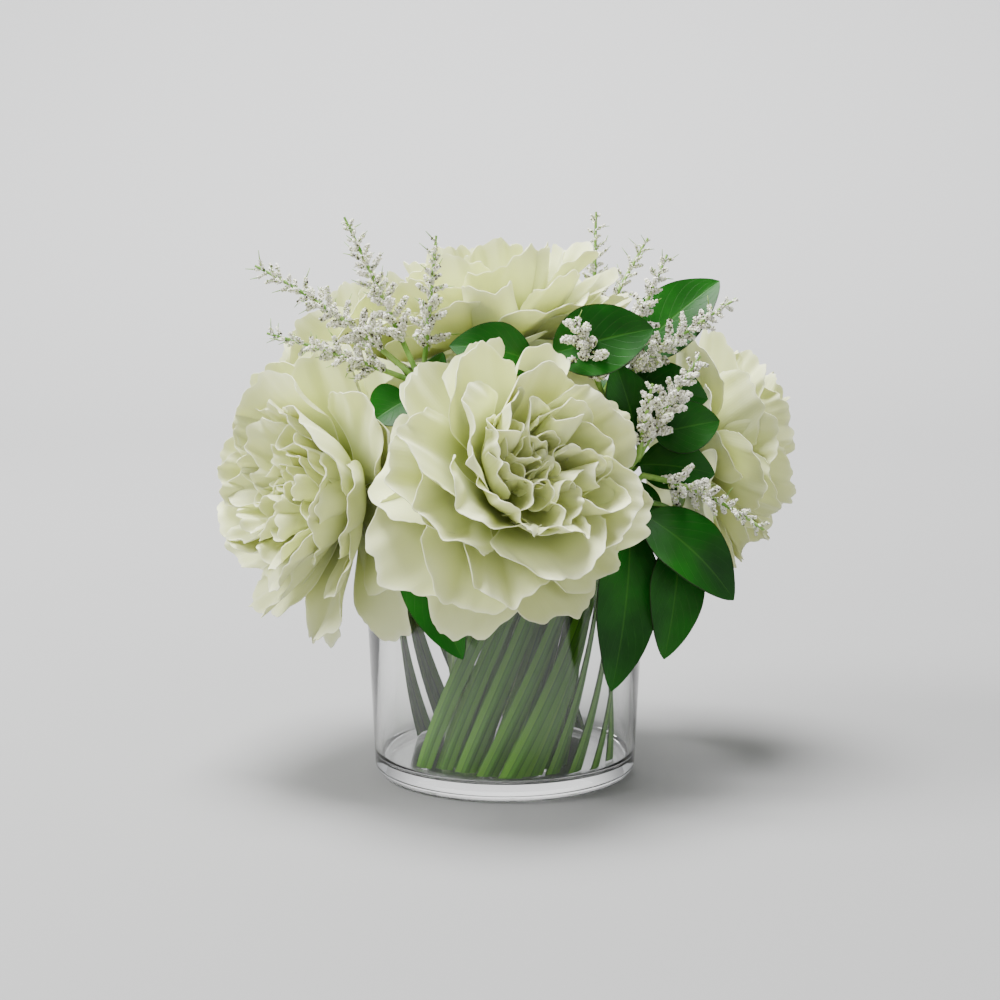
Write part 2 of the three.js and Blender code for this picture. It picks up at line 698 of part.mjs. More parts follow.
// One spike: a thin stalk with florets strung along short branchlets that stand out all round.
function spikePieces(head, spike, draw, extra) {
  const tip = place(spike.tip);
  const middle = head.clone().lerp(tip, 0.5);
  middle.z += spike.rise;
  const stalk = new THREE.QuadraticBezierCurve3(head, middle, tip);
  const tube = stemGeometry(stalk.getPoints(4), SPIKE.radius + extra, SPIKE.sides, SPIKE.steps);
  const pieces = [solidOf(tube)];
  const { turn, strayTurn, out, onward, footReach, taper, strayReach, straySpin } = BRANCHLET;
  for (let k = 0; k < spike.branchlets; k++) {
    const t = SPIKE.bareFoot + ((1 - SPIKE.bareFoot - SPIKE.bareTip) * (k + 0.5)) / spike.branchlets;
    const along = stalk.getTangent(t);
    const around = rad(turn * k + strayTurn * draw());
    const side = new THREE.Vector3(0, 0, 1).cross(along).normalize().applyAxisAngle(along, around);
    const way = side.multiplyScalar(out).addScaledVector(along, onward).normalize();
    const stray = 1 + strayReach * (draw() - 0.5);
    const count = Math.round((spike.reach * (footReach - taper * t) * stray) / FLORET.step);
    const spin = straySpin * draw();
    pieces.push(branchletSolid(stalk.getPoint(t), way, Math.max(1, count), spin, extra));
  }
  return pieces;
}

function spraySolid(spray, seed, extra) {
  const draw = seededDraw(seed);
  const route = stemRoute(spray);
  const stem = standingStem(route, SPRAY_STEM.radius + extra, SPRAY_STEM);
  const head = route.at(-1).clone().lerp(route.at(-2), HEAD_SINK);
  const spikes = spray.spikes.flatMap((spike) => spikePieces(head, spike, draw, extra));
  return joined([stem, ...spikes]);
}

// ---------------------------------------------------------------- blades

// A strip with a V fold, stood on the floor and turned about the vase's axis as it rises.
function bladeGeometry({ foot, width, turn }) {
  const { thickness, fold, top, steps } = BLADE;
  const half = width / 2;
  const depth = fold * width;
  const section = new THREE.Shape(
    [
      [-half, 0],
      [0, -depth],
      [half, 0],
      [half, thickness],
      [0, thickness - depth],
      [-half, thickness],
    ].map((corner) => new THREE.Vector2(...corner)),
  );
  const strip = new THREE.ExtrudeGeometry(section, { depth: top - FLOOR, steps, bevelEnabled: false });
  const wall = Math.atan2(foot[1], foot[0]) + Math.PI / 2;
  strip.rotateZ(wall + rad(turn));
  strip.translate(foot[0], foot[1], 0);
  const corners = strip.getAttribute("position");
  const corner = new THREE.Vector3();
  for (let i = 0; i < corners.count; i++) {
    corner.fromBufferAttribute(corners, i);
    corner.applyAxisAngle(new THREE.Vector3(0, 0, 1), SWIRL * corner.z);
    corners.setXYZ(i, corner.x, corner.y, corner.z);
  }
  return strip;
}

function bladeMesh(blade, number, material) {
  const mesh = new THREE.Mesh(bladeGeometry(blade), material);
  mesh.name = "blade_" + String(number).padStart(2, "0");
  mesh.position.z = FLOOR;
  return mesh;
}

// ---------------------------------------------------------------- the arrangement

const petalFinish = finish(COLOURS.petal, 0.65);
const leafFinish = finish(COLOURS.leaf, 0.45);
const stemFinish = finish(COLOURS.stem, 0.5);
const bladeFinish = finish(COLOURS.blade, 0.45);
const sprayFinish = finish(COLOURS.spray, 0.8);
const glassFinish = finish(COLOURS.glass, 0.05);
glassFinish.transparent = true;
glassFinish.opacity = 0.35;

const centerpiece = new THREE.Group();
centerpiece.add(meshOf("vase", vaseSolid(), glassFinish));

const keepClear = [];
BLOOMS.forEach((bloom) => {
  centerpiece.add(meshOf("stem_" + bloom.name, bloomStemSolid(bloom, 0), stemFinish));
  keepClear.push(bloomStemSolid(bloom, CLEARANCE));
});

SPRAYS.forEach((spray, number) => {
  const seed = 401 + number;
  centerpiece.add(meshOf(spray.name, clearedOf(spraySolid(spray, seed, 0), keepClear), sprayFinish));
  keepClear.push(spraySolid(spray, seed, CLEARANCE));
});

LEAFY_STEMS.forEach((plant) => {
  centerpiece.add(meshOf(plant.name, clearedOf(leafyStemSolid(plant, 0), keepClear), leafFinish));
  keepClear.push(leafyStemSolid(plant, CLEARANCE));
});

keepClear.push(vaseRoom());
BLOOMS.forEach((bloom, number) => {
  const solid = clearedOf(bloomSolid(bloom, 101 + number), keepClear);
  centerpiece.add(meshOf("bloom_" + bloom.name, solid, petalFinish));
});

BLADES.forEach((blade, number) => centerpiece.add(bladeMesh(blade, number + 1, bladeFinish)));

export default centerpiece;
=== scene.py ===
import math

import bpy
import numpy as np
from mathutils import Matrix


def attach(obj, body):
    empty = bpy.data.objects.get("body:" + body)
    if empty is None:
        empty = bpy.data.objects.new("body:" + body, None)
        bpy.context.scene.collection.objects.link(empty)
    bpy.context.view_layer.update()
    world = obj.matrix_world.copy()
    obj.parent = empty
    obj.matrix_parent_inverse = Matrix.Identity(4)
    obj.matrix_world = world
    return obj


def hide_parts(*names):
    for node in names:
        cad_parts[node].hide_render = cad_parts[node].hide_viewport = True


# A table centerpiece: five double peonies, leafy stems, spray flowers and folded green blades in a
# clear glass vase. Lengths are in millimetres until a mesh is made, which turns them into metres.
# +Z is up, the origin is the centre of the vase's underside and the front bloom looks to -Y.

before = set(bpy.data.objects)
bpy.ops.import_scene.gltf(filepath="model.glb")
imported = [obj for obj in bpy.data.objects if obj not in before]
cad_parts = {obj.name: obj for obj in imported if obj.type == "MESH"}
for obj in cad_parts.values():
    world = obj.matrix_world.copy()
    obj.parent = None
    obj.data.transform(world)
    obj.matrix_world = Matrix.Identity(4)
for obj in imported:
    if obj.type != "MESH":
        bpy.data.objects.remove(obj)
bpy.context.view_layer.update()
bpy.ops.object.select_all(action="DESELECT")

MM = 0.001

# ---------------- sizes shared with the solids

SEAT_GAP = 0.3
VASE = {
    "height": 120, "foot": 62.5, "taper": 0.0446, "wall": 3, "base": 8,
    "foot_round": 6, "floor_round": 5, "sides": 128, "crease": 40,
}
RIM_RADIUS = VASE["foot"] + VASE["taper"] * VASE["height"]
FLOOR = VASE["base"] + SEAT_GAP
SWIRL = math.radians(0.57)  # turn of stems and blades for each millimetre of height
SWIRL_TOP = 112
STEM_LEVELS = (FLOOR, 42, 76, 106)
PLANT_RING = 25  # from the vase's axis to the leafy stems and sprays in it
CREASE = 50  # faces that meet at less than this many degrees are smoothed
ROUTE_STEPS = 8  # from each point of a stem's route to the next

HEADS = {
    "front": {"base": (-3.5, -57.6, 143), "azimuth": -62, "elevation": 21, "guard": 69, "turn": 24},
    "left": {"base": (-66, -10, 137), "azimuth": 217, "elevation": 10, "guard": 73, "turn": 40},
    "right": {"base": (86, 40, 148), "azimuth": 12, "elevation": 3, "guard": 61, "turn": 25},
    "top": {"base": (0, 12, 196), "azimuth": 135, "elevation": 82, "guard": 68, "turn": 0},
    "back": {"base": (-56, 48, 175), "azimuth": 135, "elevation": 25, "guard": 62, "turn": 15},
}
GUARD_RADIUS = 66  # reach of the guard petals in RINGS; a head is scaled to its own guard
CROWD_CENTRE = 25  # along the head's axis, the point its petals are pushed back towards
HEAD_GAPS = {("front", "top"): (7, 1.5), ("left", "front"): (2, -4)}  # free space, and its shift
USUAL_SPACE = 1.8
RIM_LEAN = math.radians(32)  # of the plane laid against the rim
RIM_SPACE = 2
RIM_HEADS = ("front", "right", "back")  # the heads held clear of the rim by that plane
DRAPED_HEADS = ("left",)  # the heads whose lower petals hang down in front of the glass
DRAPE = {"space": 4, "start": 134, "whole": 124}  # from the glass, and the heights it sets in at
SOFT_SHARE = 0.12  # of the way to a wall, over which petals are slowed

# Rings of petals from the guard petals in to the whorl. root is where a petal starts, out from the
# head's axis and up it. lean is its angle from the axis in degrees at root and tip, and tip how far
# its tip bends out beyond that. cup is the radius it is curled to across its width, roll how far
# one edge tucks under its neighbour, ruffle and wavelength the steepness and length of its waves,
# edge how far its side edges curl in. tubes is the share of petals rolled into tubes of the radius
# tube, and twist how far a petal may be turned about its own length.
RING_VALUES = (
    "root", "count", "size", "lean", "tip", "cup", "roll",
    "ruffle", "wavelength", "edge", "tubes", "tube", "twist",
)
RING_ROWS = [
    ((7, 4), 8, (60, 52), (84, 97), 8, 80, 0.15, 0.18, 24, 8, 0, 12, 0),
    ((8, 6), 8, (57, 48), (82, 62), 6, 60, 0.18, 0.28, 22, 10, 0, 12, 5),
    ((9.5, 9), 8, (53, 44), (78, 38), 10, 42, 0.2, 0.42, 18, 15, 0.12, 11, 12),
    ((10, 13), 6, (48, 52), (64, 13), 18, 34, 0.22, 0.34, 17, 12, 0, 11, 8),
    ((9, 15), 7, (43, 36), (52, 5), 16, 26, 0.25, 0.55, 13, 20, 0.2, 8, 20),
    ((7.5, 16), 9, (38, 28), (38, 1), 14, 15, 0.3, 0.6, 12, 25, 0.5, 6, 45),
    ((5, 17), 8, (32, 24), (22, 0), 12, 10, 0.4, 0.55, 11, 25, 0.6, 5, 80),
    ((2, 18), 5, (27, 18), (5, 0), 12, 8, 0.5, 0.5, 10, 25, 0.6, 4.5, 120),
]
RINGS = [dict(zip(RING_VALUES, row)) for row in RING_ROWS]
RING_TURN = 23  # degrees from each ring to the next
PETAL_THICKNESS = 0.3
PETAL_GRID = (30, 20)
ROOT_WIDTH = 0.18  # share of a petal's width at its root
TIP_ROUNDING = 0.27
HEAD_SEEDS = {"front": 101, "left": 132, "right": 103, "top": 117, "back": 105}
THINNED = {"left": (8,)}  # the petals that make way for a leaf between the heads
SCALLOP = {"length": 7, "depth": 1.3}

HEAD_ROUTES = {
    "front": {"ring": 30, "rim_azimuth": -97, "over": [(-5, -36, 124)]},
    "left": {"ring": 30, "rim_azimuth": 187, "over": [(-36, -1, 126), (-44, 1, 131)]},
    "right": {"ring": 30, "rim_azimuth": 24, "over": [(42, 21, 130), (62, 31, 144)]},
    "top": {"ring": 9, "rim_azimuth": 95, "over": [(1, 11, 150)]},
    "back": {"ring": 30, "rim_azimuth": 141, "over": [(-33, 27, 134), (-40, 32, 153)]},
}
HEAD_STEM_RADIUS = 3
CALYX = 13  # from the petals' foot down to the foot of the green cup
CALYX_PROFILE = [
    (0, -13), (4, -13), (5.4, -11), (7.6, -8.5), (9.6, -5.4),
    (11, -2.5), (11.6, 1.2), (9.8, 1.5), (0, -0.35),
]
SEPAL = {"count": 5, "length": (17, 23), "width": (12, 15), "thickness": 0.6, "grid": (6, 8)}

# rim_azimuth is where a stem leans on the vase's rim, and over the points it passes above that. A
# leaf is its root, its tip, its width, the way its upper side faces and how far it arches.
LEAFY_STEMS = {
    "leaves_right_low": {
        "rim_azimuth": -54, "over": [(40, -36, 121), (52, -42, 130), (66, -46, 137), (82, -46, 131)],
        "leaves": [
            ((57, -43.5, 132.5), (48, -63, 53), 31, (0.35, -0.9, 0.2), 6),
            ((80, -46, 129), (72.5, -54, 66), 27, (0.3, -0.95, 0.1), 4),
            ((58, -44, 134), (104, -52, 93), 31, (0.2, -0.85, 0.45), 10),
        ],
    },
    "leaves_right_mid": {
        "rim_azimuth": -30, "over": [(42, -26, 130), (56, -33, 150), (66, -35, 168)],
        "leaves": [
            ((65, -35, 166), (98.5, -32, 173), 25, (0.1, -0.95, 0.3), 4),
            ((58, -33.5, 153), (96, -38, 149), 25, (0.1, -0.9, 0.4), 5),
            ((61.5, -34.5, 160), (50, -36, 200), 25, (0.3, -0.95, 0.1), 3),
            ((54.5, -32.5, 148), (66, -52, 119), 20, (0.2, -0.8, 0.4), 4),
        ],
    },
    "leaves_right_high": {
        "rim_azimuth": -6, "over": [(36, -9, 140), (46, -16, 170), (54, -18, 198)],
        "leaves": [
            ((54, -18, 196), (100, -8, 236), 32, (-0.25, -0.9, 0.35), 5),
            ((50, -17, 184), (94, -22, 182), 28, (0.1, -0.85, 0.5), 6),
        ],
    },
    "leaves_top_front": {
        "rim_azimuth": -78, "over": [(6, -28, 138), (12, -36, 170), (17, -43, 206)],
        "leaves": [
            ((16.5, -42.5, 203), (67, -42, 216), 33, (0.05, -0.95, 0.3), 5),
            ((16, -41.5, 199), (-25, -54, 209), 25, (0.1, -0.9, 0.4), 8),
        ],
    },
    "leaves_left_high": {
        "rim_azimuth": -146, "over": [(-27, -22, 136), (-36, -36, 164), (-42, -45, 187)],
        "leaves": [
            ((-42, -44.5, 185), (-60, -57, 175), 24, (0.15, -0.8, 0.6), 2),
            ((-39.5, -41, 177), (-28, -52, 206), 16, (0, -0.95, 0.2), 2),
        ],
    },
    "leaves_left_low": {
        "rim_azimuth": -122, "over": [(-27, -38, 121), (-38, -50, 129), (-44, -57, 131)],
        "leaves": [
            ((-43, -56, 131), (-19, -78, 71), 28, (-0.3, -0.92, 0.2), 5),
        ],
    },
    "leaves_back_low": {
        "rim_azimuth": 84, "over": [(4, 44, 124), (8, 60, 132), (14, 76, 138)],
        "leaves": [
            ((14, 75, 138), (8, 92, 58), 30, (0, 0.95, 0.2), 6),
            ((11, 68, 135), (50, 84, 86), 28, (0.3, 0.9, 0.3), 7),
            ((8, 60, 132), (-26, 90, 92), 27, (-0.2, 0.9, 0.4), 7),
        ],
    },
    "leaves_back_mid": {
        "rim_azimuth": 66, "over": [(24, 36, 132), (34, 50, 150), (43, 62, 166)],
        "leaves": [
            ((42, 61, 165), (60, 112, 176), 30, (0, -0.3, 0.95), 8),
            ((37, 54, 156), (56, 108, 130), 28, (0.3, 0.6, 0.7), 8),
            ((33, 49, 149), (22, 110, 156), 28, (-0.2, 0.5, 0.8), 9),
        ],
    },
    "leaves_back_high": {
        "rim_azimuth": 108, "over": [(-6, 38, 140), (-4, 50, 170), (0, 60, 192)],
        "leaves": [
            ((0, 59, 190), (14, 108, 206), 30, (0, 0.3, 0.95), 6),
            ((-2.5, 54, 180), (-30, 100, 176), 28, (-0.2, 0.6, 0.75), 7),
        ],
    },
}
LEAF_STEM_RADIUS = 1.7
LEAF_THICKNESS = 0.6
LEAF_GRID = (14, 30)
PETIOLE = 0.1  # share of the length that is a bare stalk
LEAF_FOLD = 0.22
LEAF_VEINS = {"count": 26.0, "slant": 0.42}

# plump is how thick the side branchlets are, loose how far their crumbs stand apart, spiny how many
# needles they have, and bare the share of a spike's foot without any. A spike is its tip, how far
# it arches, the length of its branchlets and how much fuller they are than the others.
SPRAYS = {
    "spray_left": {
        "plump": 1.12, "spiny": 0.7, "loose": 1.55, "bare": 0.24,
        "rim_azimuth": -134, "over": [(-22, -30, 134), (-31, -40, 162), (-38, -44, 192)],
        "spikes": [
            ((-114, -32, 244), 8, 13, 1),
            ((-73, -34, 266), 2, 12, 1),
            ((-31, -46, 258), -3, 10, 1),
            ((-108, -42, 214), 2, 10, 1),
        ],
    },
    "spray_right_high": {
        "plump": 1.2, "spiny": 0.3, "loose": 1.6, "bare": 0.2,
        "rim_azimuth": -66, "over": [(20, -30, 130), (36, -29, 158), (45, -36, 186)],
        "spikes": [
            ((74, -28, 249), -3, 12, 1),
            ((106, -28, 229), 3, 12, 1),
            ((30, -58, 221), 3, 13, 1.5),
        ],
    },
    "spray_right_mid": {
        "plump": 1.45, "spiny": 0.05, "loose": 1.35, "bare": 0.14,
        "rim_azimuth": -18, "over": [(38, -20, 128), (50, -30, 142), (61, -43, 158)],
        "spikes": [
            ((88, -46, 204), 2, 13, 1),
            ((66, -54, 192), 0, 9, 1),
        ],
    },
    "spray_right_low": {
        "plump": 1.25, "spiny": 0.2, "loose": 1.35, "bare": 0.16,
        "rim_azimuth": -42, "over": [(38, -31, 124), (52, -37, 136), (63, -46, 150)],
        "spikes": [((117, -56, 126), 8, 12, 1)],
    },
    "spray_back": {
        "plump": 0.8, "spiny": 0.7, "loose": 1.6, "bare": 0.2,
        "rim_azimuth": 52, "over": [(26, 33, 136), (36, 54, 170), (45, 74, 204)],
        "spikes": [
            ((46, 80, 267), 0, 10, 1),
            ((72, 76, 254), 2, 10, 1),
            ((40, 118, 226), 4, 11, 1),
        ],
    },
}
SPRAY_STEM_RADIUS = 1.5
SPIKE = {"radius": 1.45, "tip": 0.4, "steps": 12, "spacing": 2.4, "turn": 137.5}
CRUMB = {"to_a_mm": 17, "reach": 1.1, "size": (0.28, 0.62), "side": 1.5}
TWIG_RADIUS = 0.5
NEEDLE = {"radius": 0.32, "length": (3, 6)}

# The studio, in metres.
STUDIO = {"width": 8, "depth": 6, "height": 4, "sweep": 1.6, "drop": 0.0003}
CAMERA = {"place": (-0.0024, -1.049, 0.281), "tilt": 81.9, "lens": 80, "sensor": 36}
LOOK_AT = (0, 0, 0.13)
BACKDROP_TILT = math.radians(62)
WORLD = {"colour": (0.9, 0.92, 0.95, 1), "strength": 0.32, "more_through_glass": 0.4}

BLADE = {
    "thickness": 0.7, "fold": 0.14, "crest": 0.15, "top": 107,
    "grid": (12, 24), "strips": 3, "crease": 8,
}

# The middle of each blade's foot, its width, and its turn away from the vase's wall in degrees.
BLADES = [
    ((-38, -29), 9, 14),
    ((-28.5, -32), 9, 14),
    ((-18.5, -38), 10, 12),
    ((-8.5, -46.5), 10, 10),
    ((2, -51.5), 11, -6),
    ((12.5, -45.5), 10, 12),
    ((22, -40.5), 9, 14),
    ((32, -39), 10, 12),
    ((41.5, -33.5), 8, 10),
    ((50, -14), 9, -10),
    ((-22.7, -29), 8, 0),
    ((-15, -33.6), 8, 0),
    ((-6.4, -36.2), 8, 0),
    ((2.6, -36.7), 8, 0),
    ((11.4, -35), 8, 0),
    ((19.5, -31.2), 8, 0),
    ((26.5, -25.6), 8, 0),
    ((-41, 31), 14, 8),
    ((-29, 42), 14, 10),
    ((-10, 50), 14, -8),
    ((14, 49), 11, 10),
    ((38, 36), 12, -8),
]

# ---------------- small helpers


def seeded_draw(seed):
    """A function that gives the same numbers from 0 to 1 on every run."""
    state = [seed]

    def draw(low=0.0, high=1.0):
        state[0] = state[0] * 16807 % 2147483647
        return low + (high - low) * state[0] / 2147483647

    return draw


def unit(vector):
    vector = np.asarray(vector, float)
    return vector / np.linalg.norm(vector, axis=-1, keepdims=True)


def smooth(value, low, high):
    share = np.clip((value - low) / (high - low), 0, 1)
    return share * share * (3 - 2 * share)


def direction(azimuth, elevation):
    a, e = math.radians(azimuth), math.radians(elevation)
    return np.array([math.cos(e) * math.cos(a), math.cos(e) * math.sin(a), math.sin(e)])


def turned(points, angle):
    """The points turned about the Z axis."""
    c, s = np.cos(angle), np.sin(angle)
    x, y, z = points[..., 0], points[..., 1], points[..., 2]
    return np.stack([c * x - s * y, s * x + c * y, z + 0 * c], axis=-1)


def smooth_route(points):
    """Points along a centripetal curve through the given ones."""
    points = [np.asarray(p, float) for p in points]
    ends = [2 * points[0] - points[1], *points, 2 * points[-1] - points[-2]]
    route = []
    for p0, p1, p2, p3 in zip(ends, ends[1:], ends[2:], ends[3:]):
        d0, d1, d2 = (math.sqrt(np.linalg.norm(b - a)) for a, b in ((p0, p1), (p1, p2), (p2, p3)))
        t1 = ((p1 - p0) / d0 - (p2 - p0) / (d0 + d1) + (p2 - p1) / d1) * d1
        t2 = ((p2 - p1) / d1 - (p3 - p1) / (d1 + d2) + (p3 - p2) / d2) * d1
        for t in np.arange(ROUTE_STEPS) / ROUTE_STEPS:
            h = [2 * t**3 - 3 * t**2 + 1, t**3 - 2 * t**2 + t, -2 * t**3 + 3 * t**2, t**3 - t**2]
            route.append(h[0] * p1 + h[1] * t1 + h[2] * p2 + h[3] * t2)
    return np.array([*route, points[-1]])


def arched(start, middle, end, share):
    """Points and directions along a parabola, at the given shares of it."""
    t = np.asarray(share, float)[..., None]
    point = (1 - t) ** 2 * start + 2 * t * (1 - t) * middle + t**2 * end
    return point, unit(2 * (1 - t) * (middle - start) + 2 * t * (end - middle))


# ---------------- making meshes


def only(piece):
    """Makes this object the one that operators act on."""
    bpy.ops.object.select_all(action="DESELECT")
    piece.select_set(True)
    bpy.context.view_layer.objects.active = piece


def edit_all():
    """Opens the active mesh with everything in it picked."""
    bpy.ops.object.mode_set(mode="EDIT")
    bpy.ops.mesh.select_all(action="SELECT")


def smoothed(piece, angle=CREASE):
    """Smooths all but the edges sharper than the angle in degrees."""
    only(piece)
    bpy.ops.object.shade_smooth_by_angle(angle=math.radians(angle))
    return piece


def finish_mesh(piece):
    """Closes seams, points the faces outwards and smooths."""
    only(piece)
    edit_all()
    bpy.ops.mesh.remove_doubles(threshold=1e-6)
    bpy.ops.mesh.normals_make_consistent(inside=False)
    bpy.ops.object.mode_set(mode="OBJECT")
    return smoothed(piece)


def joined(pieces, name):
    only(pieces[0])
    for piece in pieces:
        piece.select_set(True)
    if len(pieces) > 1:
        bpy.ops.object.join()
    pieces[0].name = pieces[0].data.name = name
    return pieces[0]


class Blank:
    """A flat grid with a UV map, cut once and bent into every petal, leaf or blade of its kind."""

    def __init__(self, columns, rows):
        bpy.ops.mesh.primitive_grid_add(x_subdivisions=columns, y_subdivisions=rows, size=2)
        self.piece = bpy.context.object
        flat = np.empty(len(self.piece.data.vertices) * 3)
        self.piece.data.vertices.foreach_get("co", flat)
        flat = flat.reshape(-1, 3).round(6)
        self.order = np.lexsort((flat[:, 0], flat[:, 1]))
        shape = (rows + 1, columns + 1)
        self.across = flat[self.order, 0].reshape(shape)
        self.along = (flat[self.order, 1].reshape(shape) + 1) / 2

    def bent(self, points, tone=0.5):
        """A copy with its points at the given places. tone is kept on it for its colour."""
        copy = self.piece.copy()
        copy.data = self.piece.data.copy()
        bpy.context.collection.objects.link(copy)
        places = np.empty((len(self.order), 3))
        places[self.order] = points.reshape(-1, 3) * MM
        copy.data.vertices.foreach_set("co", places.ravel())
        layer = copy.data.attributes.new("tone", "FLOAT", "POINT")
        layer.data.foreach_set("value", np.full(len(places), tone))
        return copy

    def put_away(self):
        bpy.data.objects.remove(self.piece)


def thickened(sheets, name, thickness, crease=CREASE):
    """Joins bent sheets and gives them their thickness."""
    piece = joined(sheets, name)
    solidify = piece.modifiers.new("thickness", "SOLIDIFY")
    solidify.thickness = thickness * MM
    solidify.offset = 0
    only(piece)
    bpy.ops.object.modifier_apply(modifier=solidify.name)
    return smoothed(piece, crease)


def round_stem(points, radius, tip=1.0):
    """A round stem along the points, thinned to a share of its radius at the tip."""
    bpy.ops.curve.primitive_bezier_curve_add(enter_editmode=False, location=(0, 0, 0))
    stem = bpy.context.object
    stem.data.splines.clear()
    line = stem.data.splines.new("POLY")
    line.points.add(len(points) - 1)
    for k, (dot, place) in enumerate(zip(line.points, points)):
        dot.co = (*(place * MM), 1)
        dot.radius = 1 - (1 - tip) * k / (len(points) - 1)
    stem.data.bevel_depth = radius * MM
    stem.data.bevel_resolution = 2
    stem.data.use_fill_caps = True
    bpy.ops.object.convert(target="MESH")
    return bpy.context.object


def spun(profile, name, steps):
    """A round body from its half section, spun about the Z axis."""
    bpy.ops.mesh.primitive_plane_add(size=1)
    piece = bpy.context.object
    piece.name = piece.data.name = name
    piece.data.clear_geometry()
    corners = [(x * MM, 0, z * MM) for x, z in profile]
    piece.data.from_pydata(corners, [(k, k + 1) for k in range(len(corners) - 1)], [])
    edit_all()
    bpy.ops.mesh.spin(steps=steps, angle=2 * math.pi, center=(0, 0, 0), axis=(0, 0, 1))
    bpy.ops.object.mode_set(mode="OBJECT")
    return finish_mesh(piece)


def placed(piece, matrix):
    """Moves a finished mesh by a matrix in millimetres, its object staying at the origin."""
    count = len(piece.data.vertices)
    places = np.empty(count * 3)
    piece.data.vertices.foreach_get("co", places)
    places = places.reshape(-1, 3) @ matrix[:3, :3].T + matrix[:3, 3] * MM
    piece.data.vertices.foreach_set("co", places.ravel())
    piece.data.update()
    return piece


def scattered(blank, places, name, tones):
    """One mesh of many copies of a small blank: places are 3x4 matrices in millimetres."""
    count = len(blank.data.vertices)
    base = np.empty(count * 3)
    blank.data.vertices.foreach_get("co", base)
    base = base.reshape(-1, 3)
    faces = np.array([face.vertices[:] for face in blank.data.polygons])
    spots = np.einsum("nij,vj->nvi", places[:, :, :3], base) + places[:, None, :, 3]
    corners = (faces[None] + count * np.arange(len(places))[:, None, None]).reshape(-1, faces.shape[1])
    mesh = bpy.data.meshes.new(name)
    mesh.vertices.add(len(places) * count)
    mesh.vertices.foreach_set("co", (spots * MM).ravel())
    mesh.loops.add(corners.size)
    mesh.loops.foreach_set("vertex_index", corners.ravel())
    mesh.polygons.add(len(corners))
    mesh.polygons.foreach_set("loop_start", np.arange(0, corners.size, faces.shape[1]))
    mesh.update(calc_edges=True)
    layer = mesh.attributes.new("tone", "FLOAT", "POINT")
    layer.data.foreach_set("value", np.repeat(tones, count))
    piece = bpy.data.objects.new(name, mesh)
    bpy.context.collection.objects.link(piece)
    return piece


def fitted(piece, node, material):
    """Hands a finished piece to the frame in place of its CAD node."""
    piece.data.materials.clear()
    piece.data.materials.append(material)
    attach(piece, "root")
    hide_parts(node)
    return piece


# ---------------- materials


def linear(red, green, blue):
    """A colour given as screen values from 0 to 255, as light."""
    return (*((np.array([red, green, blue]) / 255) ** 2.2), 1)


class Finish:
    """A new material with its Principled shader, and short ways to add nodes to it."""

    def __init__(self, name):
        self.material = bpy.data.materials.new(name)
        self.material.use_nodes = True
        self.tree = self.material.node_tree
        self.shader = self.tree.nodes["Principled BSDF"]

    def node(self, kind, inputs=None, **settings):
        made = self.tree.nodes.new(kind)
        for key, value in settings.items():
            setattr(made, key, value)
        for key, value in (inputs or {}).items():
            if isinstance(value, bpy.types.NodeSocket):
                self.tree.links.new(value, made.inputs[key])
            else:
                made.inputs[key].default_value = value
        return made

    def maths(self, operation, first, second=0.0, third=0.0, clamp=False):
        values = {0: first, 1: second, 2: third}
        return self.node("ShaderNodeMath", values, operation=operation, use_clamp=clamp).outputs[0]

    def rest_of(self, share):
        return self.maths("SUBTRACT", 1.0, share)

    def ramp(self, value, low, high):
        made = self.node("ShaderNodeMapRange", {"Value": value, "From Min": low, "From Max": high})
        made.interpolation_type = "SMOOTHSTEP"
        return made.outputs[0]

    def mix(self, share, first, second, blend="MIX"):
        values = {0: share, 6: first, 7: second}
        return self.node("ShaderNodeMix", values, data_type="RGBA", blend_type=blend).outputs[2]

    def shaded(self, colour, shade):
        """The colour made darker or lighter by a value round 1."""
        grey = self.node("ShaderNodeCombineColor", {0: shade, 1: shade, 2: shade}).outputs[0]
        return self.mix(1.0, colour, grey, "MULTIPLY")

    def clouds(self, mottle, scale, strength):
        """A value round 1 that drifts over the surface."""
        values = {"Scale": scale, "Strength": strength}
        return self.node("ShaderNodeGroup", values, node_tree=mottle).outputs[0]

    def tone(self):
        """The sheet's or crumb's own tone, from 0 to 1."""
        return self.node("ShaderNodeAttribute", attribute_name="tone").outputs["Fac"]

    def object_place(self):
        return self.node("ShaderNodeTexCoord").outputs["Object"]

    def feed(self, socket, value):
        if isinstance(value, bpy.types.NodeSocket):
            self.tree.links.new(value, self.shader.inputs[socket])
        else:
            self.shader.inputs[socket].default_value = value

    def bump(self, height, distance, strength):
        made = self.node("ShaderNodeBump", {"Height": height, "Distance": distance, "Strength": strength})
        self.feed("Normal", made.outputs[0])


